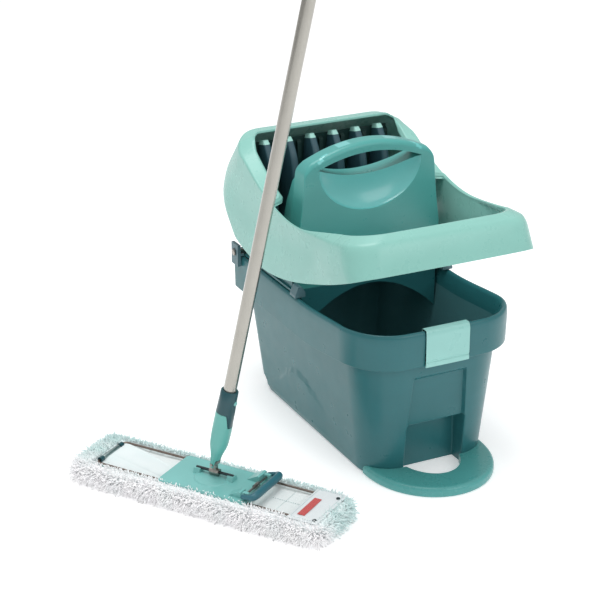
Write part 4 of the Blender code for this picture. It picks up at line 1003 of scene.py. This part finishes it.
def make_fringe():
    """Pile round the cover and under it, on a soft core."""
    rng = np.random.default_rng(11)
    groups = []

    def grow(count, roots, aims, length, radius, droop):
        lengths = length * rng.uniform(0.75, 1.2, count)
        radii = radius * rng.uniform(0.75, 1.25, count)
        aims = aims + rng.normal(0, 0.20, (count, 3))
        aims /= np.linalg.norm(aims, axis=1, keepdims=True)
        groups.append(tufts(rng, roots, aims, lengths, radii, np.full(count, droop)))

    # rows from the floor, up the side and over the shoulder
    for k in range(15):
        along = k / 14
        turn = radians(-35 + 130 * along ** 1.3)
        height = 0.004 + 0.0325 * along ** 0.85
        inset = 0.0125 + 0.0110 * max(along - 0.62, 0) / 0.38 + 0.004 * max(0.2 - along, 0) / 0.2
        count = 620 if along < 0.75 else 560
        points, outward = cover_outline(inset, count)
        roots = np.column_stack([points, np.full(count, height)])
        roots[:, :2] += rng.normal(0, 0.0012, (count, 2))
        roots[:, 2] += rng.normal(0, 0.0010, count)
        aims = np.column_stack([outward * cos(turn), np.full(count, sin(turn))])
        grow(count, roots, aims, 0.0115 - 0.0045 * along ** 3, 0.00105, 0.35 * along)
    # the wide left end and the top of the band
    spots = rng.uniform((COVER_LEFT + 0.020, -POCKET_HALF), (POCKET_LEFT + 0.001, POCKET_HALF),
                        (900, 2))
    roots = np.column_stack([spots, np.full(len(spots), 0.0355)])
    aims = np.column_stack([rng.normal(-0.35, 0.35, len(spots)), rng.normal(0, 0.35, len(spots)),
                            np.ones(len(spots))])
    grow(len(spots), roots, aims, 0.0078, 0.00105, 0.3)
    # underneath
    spots = rng.uniform((COVER_LEFT + 0.014, -0.060), (COVER_RIGHT - 0.014, 0.060), (1500, 2))
    roots = np.column_stack([spots, np.full(len(spots), 0.0095)])
    aims = np.column_stack([rng.normal(0, 0.5, (len(spots), 2)), -np.ones(len(spots))])
    grow(len(spots), roots, aims, 0.0072, 0.0016, 0.0)

    # core: rings round the band, closed under the cloth
    core = []
    for height, inset in ((0.0040, 0.020), (0.0060, 0.0155), (0.014, 0.0135), (0.026, 0.0135),
                          (0.0325, 0.0150), (0.0362, 0.0185), (0.0370, 0.0205), (0.0345, 0.0240),
                          (0.0285, 0.0250)):
        points, _ = cover_outline(inset, 300)
        core.append(np.column_stack([points, np.full(300, height)]))
    core = np.array(core)
    core += rng.normal(0, 0.0005, core.shape)
    end = core[:, :, 0] < POCKET_LEFT + 0.004
    core[-2:, :, 2] = np.where(end[-2:], 0.0362, core[-2:, :, 2])
    verts, faces = loft(core)
    offset = len(verts)
    # the depth attribute runs from 0.25 on the core to 1 at the tips of the tufts; the yarn darkens
    # towards low values as painted shade
    parts, shares, polygons = [verts], [np.full(offset, 0.25)], list(faces)
    for points, quads, share in groups:
        parts.append(points)
        shares.append(0.25 + 0.75 * share)
        polygons += (quads + offset).tolist()
        offset += len(points)
    verts = np.vstack(parts)
    share = np.concatenate(shares)
    verts[:, 2] = np.maximum(verts[:, 2], 0.0005)
    mesh = bpy.data.meshes.new("cover_fringe")
    matrix = np.array(HEAD)
    world = verts @ matrix[:3, :3].T + matrix[:3, 3]
    mesh.from_pydata(world.tolist(), [], polygons)
    mesh.shade_smooth()
    mesh.materials.append(LOOKS["yarn"])
    # tint: towards mint on the far side and the top of the head, with a wavy pattern and a random
    # spread
    wave = 0.12 * np.sin(verts[:, 0] * 90) * np.sin(verts[:, 1] * 140 + verts[:, 0] * 31)
    tint = ease(verts[:, 1] + 0.5 * verts[:, 2], -0.050, 0.010) * 0.85 + wave
    tint = np.clip(tint + rng.normal(0, 0.10, len(verts)), 0, 1)
    for label, values in (("tint", tint), ("depth", share)):
        layer = mesh.attributes.new(label, "FLOAT", "POINT")
        layer.data.foreach_set("value", np.asarray(values, np.float32))
    fringe = bpy.data.objects.new("cover_fringe", mesh)
    bpy.context.scene.collection.objects.link(fringe)
    return across_fold(fringe, "cover_fabric", "cover_main", "cover_wing")


def slab(name, u, v, z, thick, looks, heights=None):
    """A thin soft slab with a rounded rim and a quilted top."""
    pitch, fewest = 0.004, 6
    count_u, count_v = [max(int((side[1] - side[0]) / pitch), fewest) for side in (u, v)]
    us, vs = np.linspace(*u, count_u + 1), np.linspace(*v, count_v + 1)
    grid_u, grid_v = np.meshgrid(us, vs, indexing="ij")
    lift = heights(grid_u, grid_v) if heights else 0.0
    rim = np.minimum(np.minimum(grid_u - u[0], u[1] - grid_u),
                     np.minimum(grid_v - v[0], v[1] - grid_v))
    top = z + (thick - 0.0004) * ease(rim, -0.002, 0.004) + 0.0004 + lift
    bottom = np.full_like(top, z) + np.minimum(lift, 0)
    shape = grid_u.shape
    verts = np.concatenate([np.stack([grid_u, grid_v, top], -1).reshape(-1, 3),
                            np.stack([grid_u, grid_v, bottom], -1).reshape(-1, 3)])
    index = np.arange(shape[0] * shape[1]).reshape(shape)
    quads = np.stack([index[:-1, :-1], index[1:, :-1], index[1:, 1:], index[:-1, 1:]], -1)
    quads = quads.reshape(-1, 4)
    faces = quads.tolist() + (quads[:, ::-1] + index.size).tolist()
    rim_line = np.concatenate([index[:, 0], index[-1, 1:], index[-2::-1, -1], index[0, -2:0:-1]])
    under = rim_line + index.size
    for a in range(len(rim_line)):
        b = (a + 1) % len(rim_line)
        faces.append([int(rim_line[a]), int(under[a]), int(under[b]), int(rim_line[b])])
    return fresh(name, verts, faces, looks, 60, HEAD)


def seam(line, spacing=0.0042, size=0.0028, radius=0.00045):
    """Stitches along a line of points, as rounded short bars."""
    line = np.asarray(line, float)
    steps = np.linalg.norm(np.diff(line, axis=0), axis=1)
    run = np.concatenate([[0], np.cumsum(steps)])
    verts, faces = [], []
    for start in np.arange(0.001, run[-1] - size, spacing):
        stops = np.linspace(start, start + size, 5)
        path = np.column_stack([np.interp(stops, run, line[:, k]) for k in range(3)])
        path[:, 2] += (-0.0002, 0.0002, 0.00035, 0.0002, -0.0002)
        new, quads = loft(tube(path, radius * np.array([0.5, 1, 1, 1, 0.5]), 6))
        faces += [[int(i) + len(verts) for i in quad] for quad in quads]
        verts += new.tolist()
    return verts, faces


ON_CLOTH, ON_BINDING, ON_POCKET = 0.0305, 0.0322, 0.0407     # heights of the seams
PATCH_U, PATCH_V = (0.172, 0.2268), (-0.0548, 0.0548)         # the end pocket


def make_cover():
    def rumple(u, v):
        return 0.0004 * np.sin(u * 75 + v * 40) + 0.0003 * np.sin(v * 160 - u * 22)

    cloth_u, cloth_v = (-0.224, 0.232), (-0.060, 0.060)
    base = slab("cover_cloth", cloth_u, cloth_v, 0.0288, 0.0012, ["cloth"], rumple)
    across_fold(base, "cover_fabric")
    binding = slab("cover_binding", (-0.2015, -0.1945), (-0.046, 0.046), 0.0302, 0.0016,
                   ["binding"])
    belong(binding, "mop_head", "cover_fabric")

    def quilt(u, v):
        edge = np.minimum(np.minimum(u - PATCH_U[0], PATCH_U[1] - u),
                          np.minimum(v - PATCH_V[0], PATCH_V[1] - v))
        dent = 0.0006 * np.exp(-((edge - 0.0045) / 0.0012) ** 2)
        return 0.0003 * np.sin(u * 260) * np.sin(v * 120) - dent

    pocket = slab("end_pocket_look", PATCH_U, PATCH_V, 0.0386, 0.0020, ["pocket"], quilt)
    belong(pocket, "right_wing", "cover_fabric", "end_pocket")

    lines_main = [(ON_CLOTH, [(-0.155, -0.042), (-0.155, 0.046)]),
                  (ON_CLOTH, [(-0.190, 0.0060), (-0.102, 0.0060)]),
                  (ON_BINDING, [(-0.1930, -0.044), (-0.1930, 0.044)])]
    lines_wing = [(ON_POCKET, [(0.1765, -0.050), (0.2223, -0.050), (0.2223, 0.050),
                               (0.1765, 0.050), (0.1765, -0.050)]),
                  (ON_CLOTH, [(0.112, 0.004), (0.168, 0.004)]),
                  (ON_CLOTH, [(0.138, -0.042), (0.138, 0.042)])]
    for name, body, lines in (("seams_main", "mop_head", lines_main),
                              ("seams_wing", "right_wing", lines_wing)):
        verts, faces = [], []
        for height, line in lines:
            new, quads = seam([(u, v, height) for u, v in line])
            faces += [[i + len(verts) for i in quad] for quad in quads]
            verts += new
        made = fresh(name, verts, faces, ["thread"], 60, HEAD)
        belong(made, body, "cover_fabric")
    fringe = make_fringe()


# ---------------------------------------------------------------- socket, sleeve and pole

ROD_V, ROD_Z, PIN_HEIGHT = 0.006, 0.0495, 0.016
POLE_TILT, POLE_SWIVEL = radians(-4.0), radians(10.5)
PIN = Matrix.Translation((0, ROD_V, ROD_Z)) @ Matrix.Rotation(POLE_TILT, 4, "X")
POLE = (HEAD @ PIN @ Matrix.Translation((0, 0, PIN_HEIGHT))
        @ Matrix.Rotation(POLE_SWIVEL, 4, "Y"))
SOCKET_TOP, SLEEVE_TOP, TONGUE_LOW, BUTTON_HEIGHT = 0.098, 0.140, 0.074, 0.120
TUBE_RADIUS, TUBE_WALL, TUBE_LOW, TUBE_TOP = 0.011, 0.0012, 0.103, 1.262
GRIP_RADIUS, GROOVE_RADIUS, GRIP_LOW, GRIP_TOP = 0.0148, 0.0141, 1.120, 1.268


def tongue(turn):
    """How far the sleeve's tongue reaches down at an angle round the pole, 0 to 1."""
    away = np.abs((turn + pi) % (2 * pi) - pi)
    return 1 - ease(away, radians(24), radians(56))


def make_socket():
    sides = 96
    turns = np.arange(sides) * 2 * pi / sides
    shape = np.array([(-0.0055, 0.0040, 0.0120), (0.0, 0.0062, 0.0128), (0.014, 0.0080, 0.0132),
                      (0.036, 0.0155, 0.0155), (0.060, 0.0166, 0.0166),
                      (SOCKET_TOP, 0.0162, 0.0162)])        # (height, radius across U, across V)
    heights = np.concatenate([np.linspace(-0.0055, 0.068, 40), np.linspace(0.070, SOCKET_TOP, 40)])
    across = np.array([[np.interp(h, shape[:, 0], shape[:, k]) for k in (1, 2)] for h in heights])
    for _ in range(12):
        across[1:-1] = (across[:-2] + 2 * across[1:-1] + across[2:]) / 4
    rings = []
    for height, (ru, rv) in zip(heights, across):
        low = SOCKET_TOP - (SOCKET_TOP - TONGUE_LOW) * tongue(turns)
        under = ease(height - low, -0.0004, 0.0004) * (tongue(turns) > 0.01)
        trim = 1 - 0.0040 / 0.0162 * under
        rings.append(np.column_stack([ru * trim * np.cos(turns), rv * trim * np.sin(turns),
                                      np.full(sides, height)]))
    socket = fresh("socket_look", *loft(rings), ["socket"], 50, POLE)
    slot = prism("slot_tool", [(-0.03, -0.0095), (0.03, -0.0095), (0.03, 0.0095), (-0.03, 0.0095)],
                 "Z", -0.02, 0.0080, [], POLE)
    bore = spun("bore_tool", [(0.0028, -0.03), (0.0028, 0.03)], "Y", (0, 0, 0), [], POLE, 24)
    carve(socket, [slot, bore])
    relook(socket, ["socket"], 45)
    belong(socket, "pole", "head_plastic", "socket")

    low = SOCKET_TOP + GAP - (SOCKET_TOP + GAP - TONGUE_LOW) * tongue(turns)
    waist = np.column_stack([np.cos(turns), np.sin(turns)])

    def ring(radius, height):
        return np.column_stack([waist * np.reshape(radius, (-1, 1)) if np.ndim(radius)
                                else waist * radius, np.broadcast_to(height, sides)])

    above = np.maximum(low, SOCKET_TOP + GAP)
    rings = [ring(TUBE_RADIUS + GAP, SLEEVE_TOP), ring(0.0140, SLEEVE_TOP),
             ring(0.0148, SLEEVE_TOP - 0.0012), ring(0.0152, BUTTON_HEIGHT),
             ring(0.0160, SOCKET_TOP + 0.004), ring(0.01605, low + 0.0012), ring(0.0157, low),
             ring(0.0130, low), ring(0.0128, above), ring(TUBE_RADIUS + GAP, above)]
    sleeve = fresh("click_sleeve_look", *loft(rings, True), ["sleeve"], 50, POLE)
    bore = spun("button_tool", [(0.0045, 0.005), (0.0045, 0.03)], "X", (0, 0, BUTTON_HEIGHT), [],
                POLE, 32)
    carve(sleeve, [bore])
    relook(sleeve, ["sleeve"], 45)
    belong(sleeve, "pole", "sleeve_plastic", "click_sleeve")


def make_pole():
    low, high = TUBE_LOW, TUBE_TOP
    profile = [(TUBE_RADIUS - TUBE_WALL, low), (TUBE_RADIUS - TUBE_WALL, high),
               (TUBE_RADIUS - 0.0004, high)]
    profile += [(TUBE_RADIUS, h) for h in np.linspace(high - 0.0006, low + 0.0006, 24)]
    profile += [(TUBE_RADIUS - 0.0004, low)]
    pole = spun("pole_tube_look", profile, "Z", (0, 0, 0), ["pole"], POLE, 64, True)
    belong(pole, "pole", "pole_metal", "pole_tube")
    low, high = GRIP_LOW, GRIP_TOP
    profile = [(TUBE_RADIUS + GAP, low), (TUBE_RADIUS + GAP, high), (0.0144, high)]
    for height in np.arange(high - 0.004, low + 0.004, -0.006):
        profile += [(GRIP_RADIUS, height), (GRIP_RADIUS, height - 0.0034),
                    (GROOVE_RADIUS, height - 0.0042), (GROOVE_RADIUS, height - 0.0052)]
    profile += [(GRIP_RADIUS, low + 0.0035), (0.0144, low)]
    grip = spun("pole_grip_look", profile, "Z", (0, 0, 0), ["grip"], POLE, 48, True)
    belong(grip, "pole", "grip_rubber", "pole_grip")


# ---------------------------------------------------------------- nodes that keep their CAD shape

# (material, width of the rounded edges) and the nodes that get them
KEPT = {
    ("bucket", 0.0008): ("press_tray",),
    ("slate", 0.0008): ("rim_clip_left", "rim_clip_right", "hinge_bracket_left",
                        "hinge_bracket_right"),
    ("steel", 0.0003): ("hinge_pin_left", "hinge_pin_right", "release_pin", "cross_pin"),
    ("steel", 0.0004): ("cross_link",),
    ("steel", 0): ("return_spring_left", "return_spring_right", "release_spring"),
    ("carrier", 0.0008): ("blade_carrier",),
    ("plate", 0.0007): ("mop_plate",),
    ("plate", 0.0003): ("click_button",),
    ("sleeve", 0.0004): ("corner_sleeve_front", "corner_sleeve_rear"),
    ("sleeve", 0.0006): ("grip_cap",),
    ("rod", 0.0003): ("tilt_rod",),
    ("label", 0.0002): ("cover_label",),
    ("dark", 0): ("eyelet_front", "eyelet_rear"),
}


def dress_kept():
    for (look, width), names in KEPT.items():
        for name in names:
            node = nodes[name]
            node.data.materials.clear()
            node.data.materials.append(LOOKS[look])
            if width:
                finish_edges(node, width, 40, 2)


# ---------------------------------------------------------------- studio

SKY_LOW, SKY_HIGH, FRONT_GAIN = 0.40, 0.82, 1.10
CAMERA_PLACE, CAMERA_LENS, CAMERA_SENSOR = (-1.4465, -2.6202, 1.4971), 108.1, 36
CAMERA_TURN, CAMERA_RAISE = radians(-26.3689), radians(22.8746)
FLOOR_HALF, FLOOR_LEVEL = 6, -0.0006
# name, place, aim, size and power
LAMPS = (("overhead", (-0.3, 0.1, 2.4), (0, 0, 0.2), 1.2, 22.0),
         ("front", (0.9, -2.6, 1.9), (0, 0, 0.2), 1.6, 14.0))


def make_studio():
    scene = bpy.context.scene
    scene.view_settings.view_transform = "Standard"
    data = bpy.data.cameras.new("camera")
    data.lens = CAMERA_LENS
    data.sensor_width = CAMERA_SENSOR
    camera = bpy.data.objects.new("camera", data)
    scene.collection.objects.link(camera)
    a, e = CAMERA_TURN, CAMERA_RAISE
    back = Vector((sin(a) * cos(e), -cos(a) * cos(e), sin(e)))
    camera.location = CAMERA_PLACE
    camera.rotation_mode = "QUATERNION"
    camera.rotation_quaternion = (-back).to_track_quat("-Z", "Y")
    scene.camera = camera

    corners = [(x * FLOOR_HALF, y * FLOOR_HALF, FLOOR_LEVEL)
               for x, y in ((-1, -1), (1, -1), (1, 1), (-1, 1))]
    floor = fresh("floor", corners, [[0, 1, 2, 3]], [])
    look = Look("floor_paper", 0.7, 0.0, 0.2)
    look.colour(look.mix(look.noise(3.0, 2.0), rgba((0.972, 0.972, 0.975)),
                         rgba((0.982, 0.982, 0.984))))
    look.set("Emission Color", (1.0, 1.0, 1.0, 1.0))
    look.set("Emission Strength", 0.32)
    floor.data.materials.append(look.material)

    world = bpy.data.worlds.new("studio")
    scene.world = world
    world.use_nodes = True
    tree = world.node_tree
    back_light = tree.nodes["Background"]
    way = tree.nodes.new("ShaderNodeTexCoord").outputs["Generated"]

    def ramp(source, numbers):
        step = tree.nodes.new("ShaderNodeMapRange")
        for socket, number in zip(step.inputs[1:5], numbers):
            socket.default_value = number
        tree.links.new(source, step.inputs[0])
        return step.outputs[0]

    def facing(direction):
        step = tree.nodes.new("ShaderNodeVectorMath")
        step.operation = "DOT_PRODUCT"
        tree.links.new(way, step.inputs[0])
        step.inputs[1].default_value = direction
        return step.outputs["Value"]

    sky = ramp(facing((0.0, 0.0, 1.0)), (-0.05, 0.75, SKY_LOW, SKY_HIGH))
    dim = ramp(facing((0.30, -0.94, -0.15)), (0.35, 0.95, 1.0, FRONT_GAIN))
    both = tree.nodes.new("ShaderNodeMath")
    both.operation = "MULTIPLY"
    tree.links.new(sky, both.inputs[0])
    tree.links.new(dim, both.inputs[1])
    tree.links.new(both.outputs[0], back_light.inputs["Strength"])
    back_light.inputs["Color"].default_value = (1.0, 1.0, 1.0, 1.0)

    for name, place, aim, size, power in LAMPS:
        lamp = bpy.data.lights.new(name, "AREA")
        lamp.energy = power
        lamp.size = size
        light = bpy.data.objects.new(name, lamp)
        light.location = place
        light.rotation_euler = (Vector(aim) - Vector(place)).to_track_quat("-Z", "Y").to_euler()
        scene.collection.objects.link(light)


make_studio()
dress_kept()
make_bucket()
make_foot_loop()
make_catch()
make_handle()
make_lever()
make_blades()
make_wires()
make_pedal()
make_cover()
make_socket()
make_pole()
